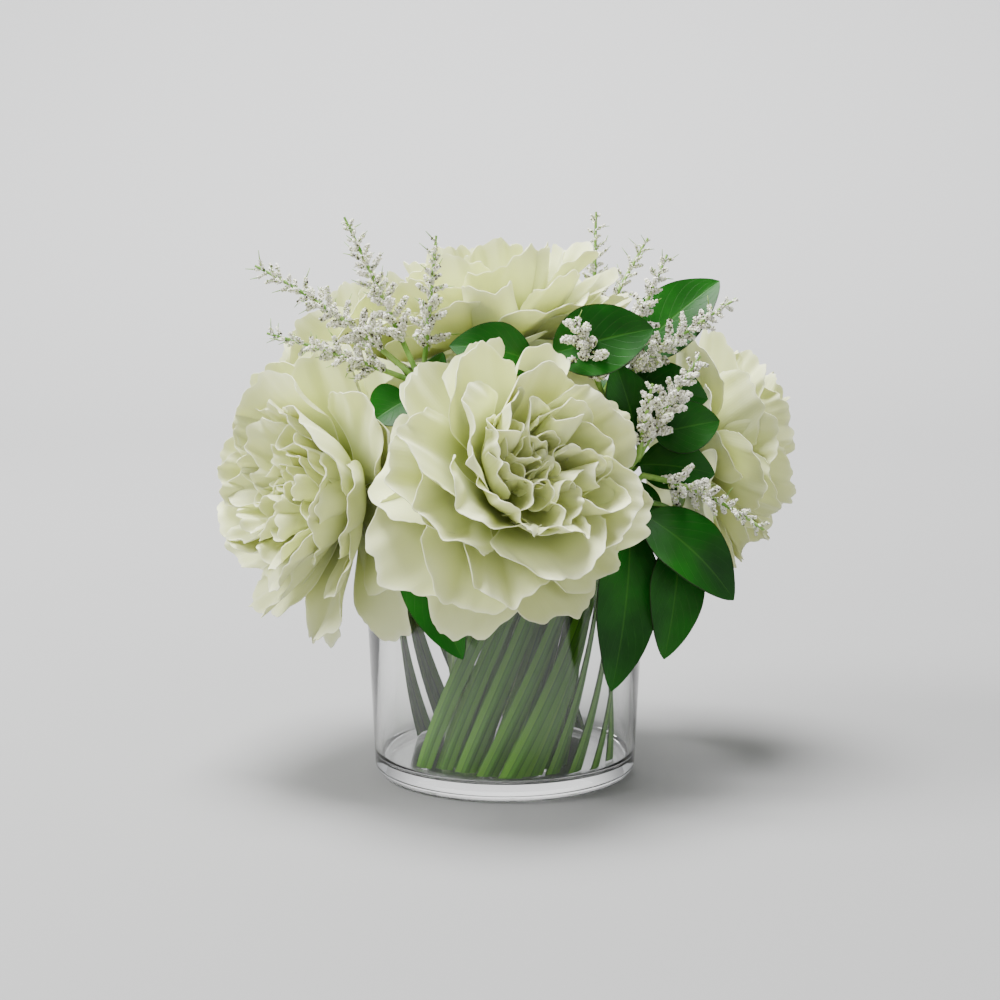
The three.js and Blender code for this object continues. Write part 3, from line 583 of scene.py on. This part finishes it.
def mottle_group():
    """Uneven cloudiness over a surface: a soft large pattern with a finer one in it."""
    tree = bpy.data.node_groups.new("mottle", "ShaderNodeTree")
    tree.interface.new_socket("Scale", in_out="INPUT", socket_type="NodeSocketFloat")
    tree.interface.new_socket("Strength", in_out="INPUT", socket_type="NodeSocketFloat")
    tree.interface.new_socket("Value", in_out="OUTPUT", socket_type="NodeSocketFloat")
    inside = tree.nodes.new("NodeGroupInput")
    outside = tree.nodes.new("NodeGroupOutput")
    where = tree.nodes.new("ShaderNodeTexCoord")
    cloud = tree.nodes.new("ShaderNodeTexNoise")
    cloud.inputs["Detail"].default_value = 4
    centred = tree.nodes.new("ShaderNodeMath")
    centred.operation = "SUBTRACT"
    centred.inputs[1].default_value = 0.5
    scaled = tree.nodes.new("ShaderNodeMath")
    scaled.operation = "MULTIPLY_ADD"
    scaled.inputs[2].default_value = 1
    tree.links.new(where.outputs["Object"], cloud.inputs["Vector"])
    tree.links.new(inside.outputs["Scale"], cloud.inputs["Scale"])
    tree.links.new(cloud.outputs["Fac"], centred.inputs[0])
    tree.links.new(centred.outputs[0], scaled.inputs[0])
    tree.links.new(inside.outputs["Strength"], scaled.inputs[1])
    tree.links.new(scaled.outputs[0], outside.inputs["Value"])
    return tree


def sheet_places(finish):
    """Place from side to side, distance from the rib and distance from the root, all from 0 to 1."""
    grid = finish.node("ShaderNodeUVMap", uv_map="UVMap").outputs[0]
    side, along, _ = finish.node("ShaderNodeSeparateXYZ", {0: grid}).outputs
    across = finish.maths("ABSOLUTE", finish.maths("MULTIPLY_ADD", side, 2.0, -1.0))
    return side, across, along


def petal_finish(mottle):
    """Soft cream petals with a green tint, greener towards the root, with a painted highlight along the
    margin.
    """
    finish = Finish("cream petal")
    side, across, along = sheet_places(finish)
    body = finish.mix(finish.ramp(along, 0.0, 0.75), linear(160, 172, 76), linear(232, 238, 180))
    # Painted highlight: the margin of each petal is painted paler, as if its rim caught the light.
    margin = finish.ramp(finish.maths("MAXIMUM", across, along), 0.93, 1.0)
    body = finish.mix(finish.maths("MULTIPLY", margin, 0.5), body, linear(246, 249, 216))
    own = finish.maths("MULTIPLY_ADD", finish.tone(), 0.1, 0.95)
    shade = finish.maths("MULTIPLY", finish.clouds(mottle, 45.0, 0.12), own)
    finish.feed("Base Color", finish.shaded(body, shade))
    finish.feed("Roughness", 0.62)
    finish.feed("Specular IOR Level", 0.35)
    finish.feed("Sheen Weight", 0.15)
    finish.feed("Subsurface Weight", 0.3)
    finish.feed("Subsurface Radius", (1.0, 1.0, 0.55))
    finish.feed("Subsurface Scale", 0.0008)
    drawn_out = finish.node("ShaderNodeCombineXYZ", {0: side, 1: finish.maths("MULTIPLY", along, 0.12)})
    wave = {"Vector": drawn_out.outputs[0], "Scale": 9.0, "Distortion": 2.5, "Detail": 2.0}
    finish.bump(finish.node("ShaderNodeTexWave", wave).outputs["Fac"], 0.0001, 0.12)
    return finish.material


def leaf_finish(mottle):
    """Dark satin green with a pale rib, faint side veins and a purple-brown edge."""
    finish = Finish("dark leaf")
    _, across, along = sheet_places(finish)
    cloud = finish.clouds(mottle, 22.0, 1.2)
    body = finish.mix(finish.ramp(cloud, 0.6, 1.4), linear(8, 48, 4), linear(26, 102, 8))
    slant = finish.maths("SUBTRACT", along, finish.maths("MULTIPLY", across, LEAF_VEINS["slant"]))
    phase = finish.maths("MULTIPLY", slant, LEAF_VEINS["count"])
    comb = finish.maths("ABSOLUTE", finish.maths("SINE", phase))
    vein = finish.rest_of(finish.ramp(comb, 0.0, 0.16))
    rib = finish.rest_of(finish.ramp(across, 0.01, 0.05))
    faint = finish.maths("MULTIPLY", vein, 0.05)
    marks = finish.maths("MAXIMUM", faint, finish.maths("MULTIPLY", rib, 0.16))
    body = finish.mix(marks, body, linear(84, 146, 50))
    edge = finish.ramp(across, 0.955, 1.0)
    body = finish.mix(finish.maths("MULTIPLY", edge, 0.6), body, linear(44, 34, 34))
    finish.feed("Base Color", body)
    finish.feed("Roughness", 0.48)
    finish.feed("Specular IOR Level", 0.2)
    finish.bump(finish.maths("MAXIMUM", vein, rib), -0.0002, 0.35)
    return finish.material


def stem_finish(mottle, name, dark, light):
    """Satin green stalk, mottled."""
    finish = Finish(name)
    cloud = finish.clouds(mottle, 90.0, 1.6)
    finish.feed("Base Color", finish.mix(finish.ramp(cloud, 0.7, 1.3), dark, light))
    finish.feed("Roughness", 0.5)
    return finish.material


def blade_finish(mottle):
    """Grass-green blades in strips of uneven tone, with painted shade in the groove between them."""
    finish = Finish("folded blade")
    side, _, _ = sheet_places(finish)
    tone = finish.tone()
    body = finish.mix(tone, linear(44, 92, 14), linear(176, 228, 84))
    strip = finish.maths("FLOOR", finish.maths("MULTIPLY", side, BLADE["strips"]))
    chance = finish.maths("FRACT", finish.maths("MULTIPLY", finish.maths("ADD", strip, tone), 0.618))
    body = finish.mix(finish.maths("MULTIPLY", chance, 0.8), body, linear(36, 78, 10))
    phase = finish.maths("MULTIPLY", side, BLADE["strips"] * math.pi)
    groove = finish.maths("ABSOLUTE", finish.maths("SINE", phase))
    # Painted shade: the grooves between the strips are painted dark, as if shade fell in them.
    dark = finish.rest_of(finish.ramp(groove, 0.05, 0.3))
    body = finish.mix(finish.maths("MULTIPLY", dark, 0.7), body, linear(20, 46, 6))
    finish.feed("Base Color", finish.shaded(body, finish.clouds(mottle, 16.0, 0.3)))
    finish.feed("Roughness", 0.6)
    finish.feed("Specular IOR Level", 0.12)
    finish.bump(groove, 0.0002, 0.3)
    return finish.material


def floret_finish(mottle):
    """White crumbs with a few green ones among them, and a few dark ones that are painted shade."""
    finish = Finish("white floret")
    tone = finish.tone()
    # Painted shade: the few dark crumbs stand for the shadows among the crumbs.
    body = finish.mix(finish.ramp(tone, 0.06, 0.08), linear(78, 72, 58), linear(182, 198, 132))
    body = finish.mix(finish.ramp(tone, 0.14, 0.24), body, linear(224, 222, 204))
    body = finish.mix(finish.ramp(tone, 0.25, 0.8), body, linear(253, 251, 240))
    finish.feed("Base Color", finish.shaded(body, finish.clouds(mottle, 400.0, 0.3)))
    finish.feed("Roughness", 0.8)
    return finish.material


def glass_finish(mottle):
    """Clear polished glass, faintly uneven, whose walls let most of the light through to the floor."""
    finish = Finish("clear glass")
    finish.feed("Base Color", (0.995, 1.0, 0.997, 1))
    finish.feed("Transmission Weight", 1.0)
    finish.feed("IOR", 1.46)
    finish.feed("Specular IOR Level", 0.35)
    cloud = finish.clouds(mottle, 6.0, 0.004)
    finish.feed("Roughness", finish.maths("SUBTRACT", cloud, 1.0, clamp=True))
    place = finish.node("ShaderNodeSeparateXYZ", {0: finish.object_place()})
    above = finish.ramp(place.outputs[2], 0.007, 0.012)
    in_shadow = finish.node("ShaderNodeLightPath").outputs["Is Shadow Ray"]
    passed = finish.maths("MULTIPLY", in_shadow, finish.maths("MULTIPLY", above, 0.85))
    finish.feed("Alpha", finish.rest_of(passed))
    return finish.material


mottle = mottle_group()
petal_material = petal_finish(mottle)
leaf_material = leaf_finish(mottle)
stem_material = stem_finish(mottle, "green stem", linear(62, 104, 36), linear(126, 166, 74))
stalk_material = stem_finish(mottle, "spray stalk", linear(92, 140, 44), linear(148, 186, 92))
blade_material = blade_finish(mottle)
floret_material = floret_finish(mottle)
glass_material = glass_finish(mottle)

# ---------------- vase


def vase_piece():
    def outer(height):
        return VASE["foot"] + VASE["taper"] * height

    def arc(x, z, radius, start, end):
        angles = np.radians(np.linspace(start, end, 9))
        return [(x + radius * math.cos(a), z + radius * math.sin(a)) for a in angles]

    lip = VASE["wall"] / 2
    foot_round, floor_round = VASE["foot_round"], VASE["floor_round"]
    foot = arc(outer(foot_round) - foot_round, foot_round, foot_round, -90, 0)
    rim = arc(RIM_RADIUS - lip, VASE["height"] - lip, lip, 0, 180)
    inner = outer(VASE["base"] + floor_round) - VASE["wall"]
    hollow = arc(inner - floor_round, VASE["base"] + floor_round, floor_round, 0, -90)
    profile = [(0, 0), *foot, *rim, *hollow, (0, VASE["base"])]
    return smoothed(spun(profile, "vase", VASE["sides"]), VASE["crease"])


fitted(vase_piece(), "vase", glass_material)

# ---------------- stems


def stem_route(ring, rim_azimuth, over):
    """Round the vase's axis with the swirl to the rim, then through the points above it."""
    azimuths = math.radians(rim_azimuth) - SWIRL * (SWIRL_TOP - np.array(STEM_LEVELS))
    inside = [(ring * math.cos(a), ring * math.sin(a), z) for a, z in zip(azimuths, STEM_LEVELS)]
    return [np.array(p, float) for p in (*inside, *over)]


def head_frame(head):
    """A head's own axes as the columns of a matrix, and the point its petals grow from."""
    axis = direction(head["azimuth"], head["elevation"])
    side = unit(np.cross((0, 0, 1), axis))
    return np.column_stack([side, np.cross(axis, side), axis, np.array(head["base"], float)])


def sepal_sheets(blank, matrix, draw):
    """Five short green sepals that lie along the back of the guard petals."""
    sheets = []
    for k in range(SEPAL["count"]):
        length, width = draw(*SEPAL["length"]), draw(*SEPAL["width"])
        lean = np.radians(62 + 22 * blank.along)
        half = 0.5 * width * np.sin(np.pi * np.clip(0.12 + 0.86 * blank.along, 0, 1)) ** 0.7
        x = 9.5 + length * blank.along * np.sin(lean) - 0.6
        z = -3.2 + length * blank.along * np.cos(lean) + 0.04 * (blank.across * half) ** 2
        points = np.stack([x, blank.across * half, z], axis=-1)
        points = turned(points, 2 * math.pi * (k + draw(-0.1, 0.1)) / SEPAL["count"])
        sheets.append(blank.bent(points @ matrix[:, :3].T + matrix[:, 3]))
    return sheets


def head_stem_piece(name, head, sepal_blank, seed):
    matrix = head_frame(head)
    under, neck = (matrix[:, :3] @ (0, 0, -CALYX + rise) + matrix[:, 3] for rise in (-8, 2))
    route = smooth_route([*stem_route(**HEAD_ROUTES[name]), under, neck])
    tube = finish_mesh(round_stem(route, HEAD_STEM_RADIUS))
    cup = placed(spun(CALYX_PROFILE, "calyx", 32), matrix)
    sheets = sepal_sheets(sepal_blank, matrix, seeded_draw(seed))
    sepals = thickened(sheets, "sepals", SEPAL["thickness"])
    return smoothed(joined([tube, cup, sepals], "stem_" + name))


sepal_blank = Blank(*SEPAL["grid"])
for number, (name, head) in enumerate(HEADS.items()):
    stem = head_stem_piece(name, head, sepal_blank, 301 + number)
    fitted(stem, "stem_" + name, stem_material)
sepal_blank.put_away()

# ---------------- heads


def crowd_centre(head):
    return np.array(head["base"]) + CROWD_CENTRE * direction(head["azimuth"], head["elevation"])


def walls_round(name):
    """The planes that hold a head's petals clear of its neighbours and of the vase's rim."""
    head = HEADS[name]
    centre = crowd_centre(head)
    walls = []
    for other_name, other in HEADS.items():
        if other_name == name:
            continue
        across = crowd_centre(other) - centre
        distance = np.linalg.norm(across)
        space, shift = HEAD_GAPS.get((name, other_name), (USUAL_SPACE, 0))
        if (other_name, name) in HEAD_GAPS:
            space, shift = HEAD_GAPS[other_name, name]
            shift = -shift
        share = (head["guard"] ** 2 - other["guard"] ** 2) / (2 * distance)
        walls.append((across / distance, distance / 2 + share + shift - space / 2))
    if name not in RIM_HEADS:
        return centre, walls
    azimuth = math.atan2(head["base"][1], head["base"][0])
    outward = np.array([math.cos(azimuth), math.sin(azimuth), 0])
    rim = outward * RIM_RADIUS + (0, 0, VASE["height"])
    lifted = outward * math.cos(RIM_LEAN) + (0, 0, math.sin(RIM_LEAN))
    walls.append((-lifted, (centre - rim) @ lifted - RIM_SPACE))
    return centre, walls


def pressed(points, crowd):
    """The points pushed back inside the walls, harder the nearer they come to one."""
    centre, walls = crowd
    ray = points - centre
    distance = np.linalg.norm(ray, axis=-1)
    ray = ray / distance[..., None]
    reach = np.full(distance.shape, 1e9)
    for out, limit in walls:
        slope = ray @ out
        reach = np.where(slope > 1e-6, np.minimum(reach, limit / np.maximum(slope, 1e-6)), reach)
    share = distance / reach
    given = SOFT_SHARE * np.exp(np.minimum((1 - SOFT_SHARE - share) / SOFT_SHARE, 0))
    length = np.where(share > 1 - SOFT_SHARE, reach * (1 - given), distance)
    return centre + ray * length[..., None]


def draped(points):
    """The points that would lie inside the vase moved out to hang in front of its wall."""
    x, y, z = points[..., 0], points[..., 1], points[..., 2]
    radius = np.hypot(x, y)
    wall = VASE["foot"] + VASE["taper"] * z + DRAPE["space"]
    share = 1 - smooth(z, DRAPE["whole"], DRAPE["start"])
    scale = np.where(radius < wall, 1 + (wall / radius - 1) * share, 1)
    return np.stack([x * scale, y * scale, z], axis=-1)


def summed(steps, axis, start):
    """Running totals of steps along an axis, counted from the given index."""
    total = np.cumsum(steps, axis=axis)
    return total - np.take(total, [start], axis=axis)


def petal_edge(u, v, length, width, draw):
    """A petal's outline: places across it and along it, with a scalloped margin."""
    half = 0.5 * width * (ROOT_WIDTH + (1 - ROOT_WIDTH) * smooth(v, -0.1, 0.7))
    far = smooth(v, 0.5, 1.0)
    nicks = SCALLOP["depth"] * np.abs(np.sin(math.pi * (0.5 * width * u / SCALLOP["length"] + draw())))
    bays = np.abs(np.sin(math.pi * (draw(1.2, 2.4) * u + draw())))
    along = length * (v - TIP_ROUNDING * np.abs(u) ** 2.5 * v * v)
    along = along + far * (nicks + length * (0.035 * bays + 0.02 * np.sin(7 * u + 6 * draw())))
    sides = SCALLOP["depth"] * np.abs(np.sin(math.pi * (length * v / SCALLOP["length"] + draw())))
    return u * (half + 0.7 * sides * far * u**4), along


def petal_points(ring, u, v, draw):
    """A petal's middle surface, grown along +X of its head: u runs across it and v along it."""
    length, width = ring["size"][0] * draw(0.93, 1.05), ring["size"][1] * draw(0.9, 1.1)
    x, along = petal_edge(u, v, length, width, draw)
    is_tube, side, bias = draw() < ring["tubes"], 1 if draw() > 0.5 else -1, draw(-0.3, 0.3)
    ruffle = ring["ruffle"] * draw(0.7, 1.3) * smooth(v, 0.15, 1.0)
    edge = math.radians(ring["edge"] * draw(-0.4, 1.6))
    bends = x / ring["cup"] + math.atan(ring["roll"]) * draw(0.6, 1.3)
    if is_tube:
        radius = ring["tube"] * draw(0.8, 1.3)
        bends = side * (x + bias * width * 0.5) / radius * smooth(v, 0.05, 0.5)
        ruffle = ruffle * 0.25
    wave = 2 * math.pi * (x / ring["wavelength"] + draw())
    bends = bends + ruffle * np.cos(wave + 1.5 * v * draw(-1, 1))
    bends = bends + 0.6 * ruffle * np.cos(2 * math.pi * (2.1 * x / ring["wavelength"] + draw()))
    bends = bends + edge * np.sign(u) * smooth(np.abs(u), 0.45, 1.0) * smooth(v, 0.2, 0.9)
    step = np.gradient(x, axis=1)
    middle = u.shape[1] // 2
    sideways = summed(np.cos(bends) * step, 1, middle)
    inward = summed(np.sin(bends) * step, 1, middle)
    if is_tube:
        inward = inward - side * 0.8 * radius * smooth(v, 0.1, 0.6)

    start, end = ring["lean"][0] + draw(-4, 4), ring["lean"][1] + draw(-5, 5)
    lean = np.radians(start + (end - start) * along / length)
    tip = math.radians(ring["tip"] + draw(-16, 16))
    lean = lean + tip * smooth(v, 0.6, 1.0) * (1 + 0.8 * np.sin(3 * u + 6 * draw()))
    lean = lean + math.radians(6) * np.sin(5 * v + 2.2 * u + 6 * draw()) * v
    onward = np.gradient(along, axis=0)
    radial = ring["root"][0] + summed(np.sin(lean) * onward, 0, 0)
    height = ring["root"][1] + summed(np.cos(lean) * onward, 0, 0)
    twist = math.radians(ring["twist"]) * draw(-1, 1) * smooth(v, 0.0, 0.6)
    out = -inward * np.cos(lean)
    return np.stack(
        [
            radial + out * np.cos(twist) - sideways * np.sin(twist),
            sideways * np.cos(twist) + out * np.sin(twist),
            height + inward * np.sin(lean),
        ],
        axis=-1,
    )


def head_piece(name, head, blank, seed):
    draw = seeded_draw(seed)
    matrix = head_frame(head)
    crowd = walls_round(name)
    size = head["guard"] / GUARD_RADIUS
    petals = []
    for layer, ring in enumerate(RINGS):
        for k in range(ring["count"]):
            spread = 2 * math.pi * (k + draw(-0.16, 0.16)) / ring["count"]
            azimuth = math.radians(head["turn"] + layer * RING_TURN) + spread
            points = turned(petal_points(ring, blank.across, blank.along, draw) * size, azimuth)
            points = pressed(points @ matrix[:, :3].T + matrix[:, 3], crowd)
            if name in DRAPED_HEADS:
                points = draped(points)
            petals.append((points, draw()))
    thinned = THINNED.get(name, ())
    sheets = [blank.bent(*petal) for number, petal in enumerate(petals) if number not in thinned]
    return thickened(sheets, "bloom_" + name, PETAL_THICKNESS)


petal_blank = Blank(*PETAL_GRID)
for name, head in HEADS.items():
    bloom = head_piece(name, head, petal_blank, HEAD_SEEDS[name])
    fitted(bloom, "bloom_" + name, petal_material)
petal_blank.put_away()

# ---------------- leaves


def leaf_points(leaf, u, v, draw):
    """A lance-shaped leaf folded along its rib and arched from root to tip."""
    root, tip, width, face, lift = leaf
    root, tip, face = np.array(root, float), np.array(tip, float), unit(face)
    middle = (root + tip) / 2 + 2 * lift * face
    rib, along = arched(root, middle, tip, v)
    across = unit(np.cross(along, face))
    normal = np.cross(across, along)
    opened = np.clip((v - PETIOLE) / (1 - PETIOLE), 0, 1)
    share = np.sin(math.pi * opened**0.8) ** 0.75
    half = np.maximum(np.where(v < 0.5, 0.9, 0.25), 0.5 * width * share)
    wave = 0.05 * np.sin(9 * v + 5 * draw()) * np.abs(u) ** 1.5
    wave = wave + 0.02 * np.sin(23 * v + 5 * draw()) * np.abs(u) ** 3
    rise = (LEAF_FOLD * np.abs(u) ** 1.3 + wave) * half
    return rib + across * (u * half)[..., None] + normal * rise[..., None]


def leafy_pieces(name, plant, blank, seed):
    draw = seeded_draw(seed)
    route = smooth_route(stem_route(PLANT_RING, plant["rim_azimuth"], plant["over"]))
    stem = finish_mesh(round_stem(route, LEAF_STEM_RADIUS, 0.7))
    stem.name = stem.data.name = name + "_stem"
    sheets = []
    for leaf in plant["leaves"]:
        points = leaf_points(leaf, blank.across, blank.along, draw)
        sheets.append(blank.bent(points, draw()))
    return stem, thickened(sheets, name, LEAF_THICKNESS)


leaf_blank = Blank(*LEAF_GRID)
for number, (name, plant) in enumerate(LEAFY_STEMS.items()):
    stem, leaves = leafy_pieces(name, plant, leaf_blank, 201 + number)
    fitted(stem, name, stem_material)
    fitted(leaves, name, leaf_material)
leaf_blank.put_away()

# ---------------- sprays


def facing(way, draw):
    """Three axes, the last along way and the others turned round it at random."""
    way = unit(way)
    first = unit(np.cross(way, unit((draw(-1, 1), draw(-1, 1), draw(-1, 1)))))
    return np.column_stack([first, np.cross(way, first), way])


def branchlet(foot, way, length, plump, spray, draw, crumbs, twigs, needles):
    """A twig covered in crumbs that thin out to its tip, with a needle or two standing out."""
    axes = facing(way, draw)
    twigs.append(np.column_stack([axes * (TWIG_RADIUS, TWIG_RADIUS, length), foot]))
    reach = CRUMB["reach"] * spray["loose"] * plump
    for _ in range(int(length * CRUMB["to_a_mm"] * plump)):
        at = draw(0.05, 1.0)
        out = reach * draw() ** 0.7 * math.sqrt(max(0.1, 1 - (1.6 * at - 0.7) ** 2))
        angle = draw(0, 2 * math.pi)
        spot = foot + axes @ (out * math.cos(angle), out * math.sin(angle), at * length)
        size = draw(*CRUMB["size"]) * plump**0.4
        crumbs.append(np.column_stack([facing(way, draw) * (size, size * draw(0.7, 1), size), spot]))
    for _ in range(int(draw(0, 1) + spray["spiny"])):
        outward = unit(axes @ (draw(-0.7, 0.7), draw(-0.7, 0.7), 1))
        start = foot + way * length * draw(0.6, 1.0)
        shape = facing(outward, draw) * (NEEDLE["radius"], NEEDLE["radius"], draw(*NEEDLE["length"]))
        needles.append(np.column_stack([shape, start]))


def spray_pieces(name, spray, tools, seed):
    draw = seeded_draw(seed)
    knots = stem_route(PLANT_RING, spray["rim_azimuth"], spray["over"])
    stalks = [round_stem(smooth_route(knots), SPRAY_STEM_RADIUS, 0.85)]
    head = knots[-1] + 0.04 * (knots[-2] - knots[-1])
    crumbs, twigs, needles = [], [], []
    for tip, rise, reach, fuller in spray["spikes"]:
        middle = (head + tip) / 2 + (0, 0, rise)
        line, _ = arched(head, middle, tip, np.linspace(0, 1, SPIKE["steps"]))
        stalks.append(round_stem(line, SPIKE["radius"], SPIKE["tip"]))
        count = int(np.linalg.norm(tip - head) / SPIKE["spacing"])
        for k in range(count):
            t = spray["bare"] + (0.97 - spray["bare"]) * (k + draw(0.2, 0.8)) / count
            foot, along = arched(head, middle, tip, t)
            side = unit(np.cross((0, 0, 1), along))
            turn = math.radians(SPIKE["turn"] * k + 40 * draw())
            out = side * math.cos(turn) + np.cross(along, side) * math.sin(turn)
            way = unit(out + draw(0.4, 0.9) * along)
            length = reach * (1.3 - 0.9 * t) * draw(0.6, 1.15)
            plump = spray["plump"] * fuller * (1.2 - 0.75 * t)
            branchlet(foot, way, length, plump, spray, draw, crumbs, twigs, needles)
    stalk = finish_mesh(joined(stalks, name + "_stalk"))
    thin = np.array(twigs + needles)
    thin = scattered(tools["twig"], thin, name + "_twigs", np.zeros(len(thin)))
    stalk = joined([stalk, thin], name + "_stalk")
    tones = np.array([draw() for _ in crumbs])
    florets = scattered(tools["crumb"], np.array(crumbs), name, tones)
    only(florets)
    bpy.ops.object.shade_smooth()
    return stalk, florets


def spray_tools():
    """The crumb and the twig that every spray is built from."""
    bpy.ops.mesh.primitive_cube_add(size=CRUMB["side"])
    crumb = bpy.context.object
    bpy.ops.mesh.primitive_cone_add(vertices=4, radius1=1, radius2=0.4, depth=1, end_fill_type="TRIFAN")
    twig = bpy.context.object
    edit_all()
    bpy.ops.transform.translate(value=(0, 0, 0.5))
    bpy.ops.mesh.quads_convert_to_tris()
    bpy.ops.object.mode_set(mode="OBJECT")
    return {"crumb": crumb, "twig": twig}


tools = spray_tools()
for number, (name, spray) in enumerate(SPRAYS.items()):
    stalk, florets = spray_pieces(name, spray, tools, 401 + number)
    fitted(stalk, name, stalk_material)
    fitted(florets, name, floret_material)
for tool in tools.values():
    bpy.data.objects.remove(tool)

# ---------------- blades


def blade_points(foot, width, turn, u, v):
    """A strip with a V fold, stood on the floor and turned about the vase's axis as it rises."""
    wall = math.atan2(foot[1], foot[0]) + math.pi / 2 + math.radians(turn)
    crests = BLADE["crest"] * np.abs(np.cos(2 * math.pi * u))
    depth = BLADE["fold"] * width * (np.abs(u) - 1) + crests
    height = (BLADE["top"] - FLOOR) * v
    flat = np.stack([u * width / 2, depth + BLADE["thickness"] / 2, height], axis=-1)
    standing = turned(flat, np.full(u.shape, wall)) + (*foot, 0)
    standing = turned(standing, SWIRL * height)
    return standing + (0, 0, FLOOR + BLADE["thickness"] / 2)


blade_blank = Blank(*BLADE["grid"])
for number, blade in enumerate(BLADES, 1):
    draw = seeded_draw(500 + number)
    name = f"blade_{number:02d}"
    points = blade_points(*blade, blade_blank.across, blade_blank.along)
    sheet = blade_blank.bent(points, draw(0.1, 1.0))
    strip = thickened([sheet], name, BLADE["thickness"], BLADE["crease"])
    fitted(strip, name, blade_material)
blade_blank.put_away()

# ---------------- studio


def studio_floor():
    """A pale floor that sweeps up into the backdrop, painted lighter up the backdrop, with a painted
    shadow round the foot of the vase and painted shade under it.
    """
    bpy.ops.mesh.primitive_plane_add(size=1, location=(0, 0, -STUDIO["drop"]))
    floor = bpy.context.object
    floor.name = "studio_floor"
    floor.scale = (STUDIO["width"], STUDIO["depth"], 1)
    bpy.ops.object.transform_apply(scale=True)
    bpy.ops.object.mode_set(mode="EDIT")
    bpy.ops.mesh.select_all(action="DESELECT")
    bpy.ops.object.mode_set(mode="OBJECT")
    for edge in floor.data.edges:
        edge.select = all(floor.data.vertices[k].co.y > 0 for k in edge.vertices)
    bpy.ops.object.mode_set(mode="EDIT")
    bpy.ops.mesh.extrude_edges_move(TRANSFORM_OT_translate={"value": (0, 0, STUDIO["height"])})
    bpy.ops.object.mode_set(mode="OBJECT")
    sweep = floor.modifiers.new("sweep", "BEVEL")
    sweep.width = STUDIO["sweep"]
    sweep.segments = 24
    bpy.ops.object.modifier_apply(modifier=sweep.name)
    bpy.ops.object.shade_smooth()
    finish = Finish("pale floor")
    where = finish.object_place()
    grain = finish.node("ShaderNodeTexNoise", {"Vector": where, "Scale": 3.0}).outputs["Fac"]
    body = finish.mix(grain, linear(147, 147, 147), linear(151, 151, 151))
    place = finish.node("ShaderNodeSeparateXYZ", {0: where})
    # Painted light: the floor is painted lighter towards the back and up the backdrop, as if more light
    # fell there.
    rise = finish.ramp(finish.maths("ADD", place.outputs[1], place.outputs[2]), -0.3, 3.2)
    body = finish.mix(rise, body, linear(249, 249, 249))
    radius = finish.node("ShaderNodeVectorMath", {0: where}, operation="LENGTH").outputs["Value"]
    # Painted shadow: the floor is darkened round the foot of the vase, as if the bouquet kept the light
    # off it.
    painted_contact_shadow = finish.rest_of(finish.ramp(radius, 0.06, 0.125))
    body = finish.mix(finish.maths("MULTIPLY", painted_contact_shadow, 0.27), body, linear(62, 64, 62))
    # Painted shade: a dark disc on the floor right under the vase's base, seen through the glass.
    finish.feed("Base Color", finish.mix(finish.ramp(radius, 0.04, 0.056), linear(62, 64, 62), body))
    finish.feed("Roughness", 0.8)
    floor.data.materials.append(finish.material)
    return floor


def soft_light(name, place, size, watts):
    """A large square lamp turned to the middle of the arrangement."""
    bpy.ops.object.light_add(type="AREA", location=place)
    lamp = bpy.context.object
    lamp.name = name
    lamp.data.size = size
    lamp.data.energy = watts
    away = np.array(place) - LOOK_AT
    tilt = math.atan2(math.hypot(away[0], away[1]), away[2])
    lamp.rotation_euler = (tilt, 0, math.atan2(away[0], -away[1]))
    return lamp


studio_floor()
soft_light("key", (-1.5, -0.5, 1.35), 0.8, 56)
soft_light("fill", (1.6, -1.2, 0.9), 1.6, 12)
soft_light("top", (-0.2, 0.08, 1.9), 0.9, 98)
backdrop_light = soft_light("backdrop", (0, 1.4, 2.4), 1.8, 34)
backdrop_light.rotation_euler = (BACKDROP_TILT, 0, 0)

world = bpy.data.worlds.new("studio")
bpy.context.scene.world = world
world.use_nodes = True
sky = world.node_tree.nodes["Background"]
sky.inputs["Color"].default_value = WORLD["colour"]
path = world.node_tree.nodes.new("ShaderNodeLightPath")
brightness = world.node_tree.nodes.new("ShaderNodeMath")
brightness.operation = "MULTIPLY_ADD"
brightness.inputs[1].default_value = WORLD["more_through_glass"]
brightness.inputs[2].default_value = WORLD["strength"]
world.node_tree.links.new(path.outputs["Is Transmission Ray"], brightness.inputs[0])
world.node_tree.links.new(brightness.outputs[0], sky.inputs["Strength"])

bpy.ops.object.camera_add(location=CAMERA["place"], rotation=(math.radians(CAMERA["tilt"]), 0, 0))
camera = bpy.context.object
camera.data.lens = CAMERA["lens"]
camera.data.sensor_width = CAMERA["sensor"]
bpy.context.scene.camera = camera
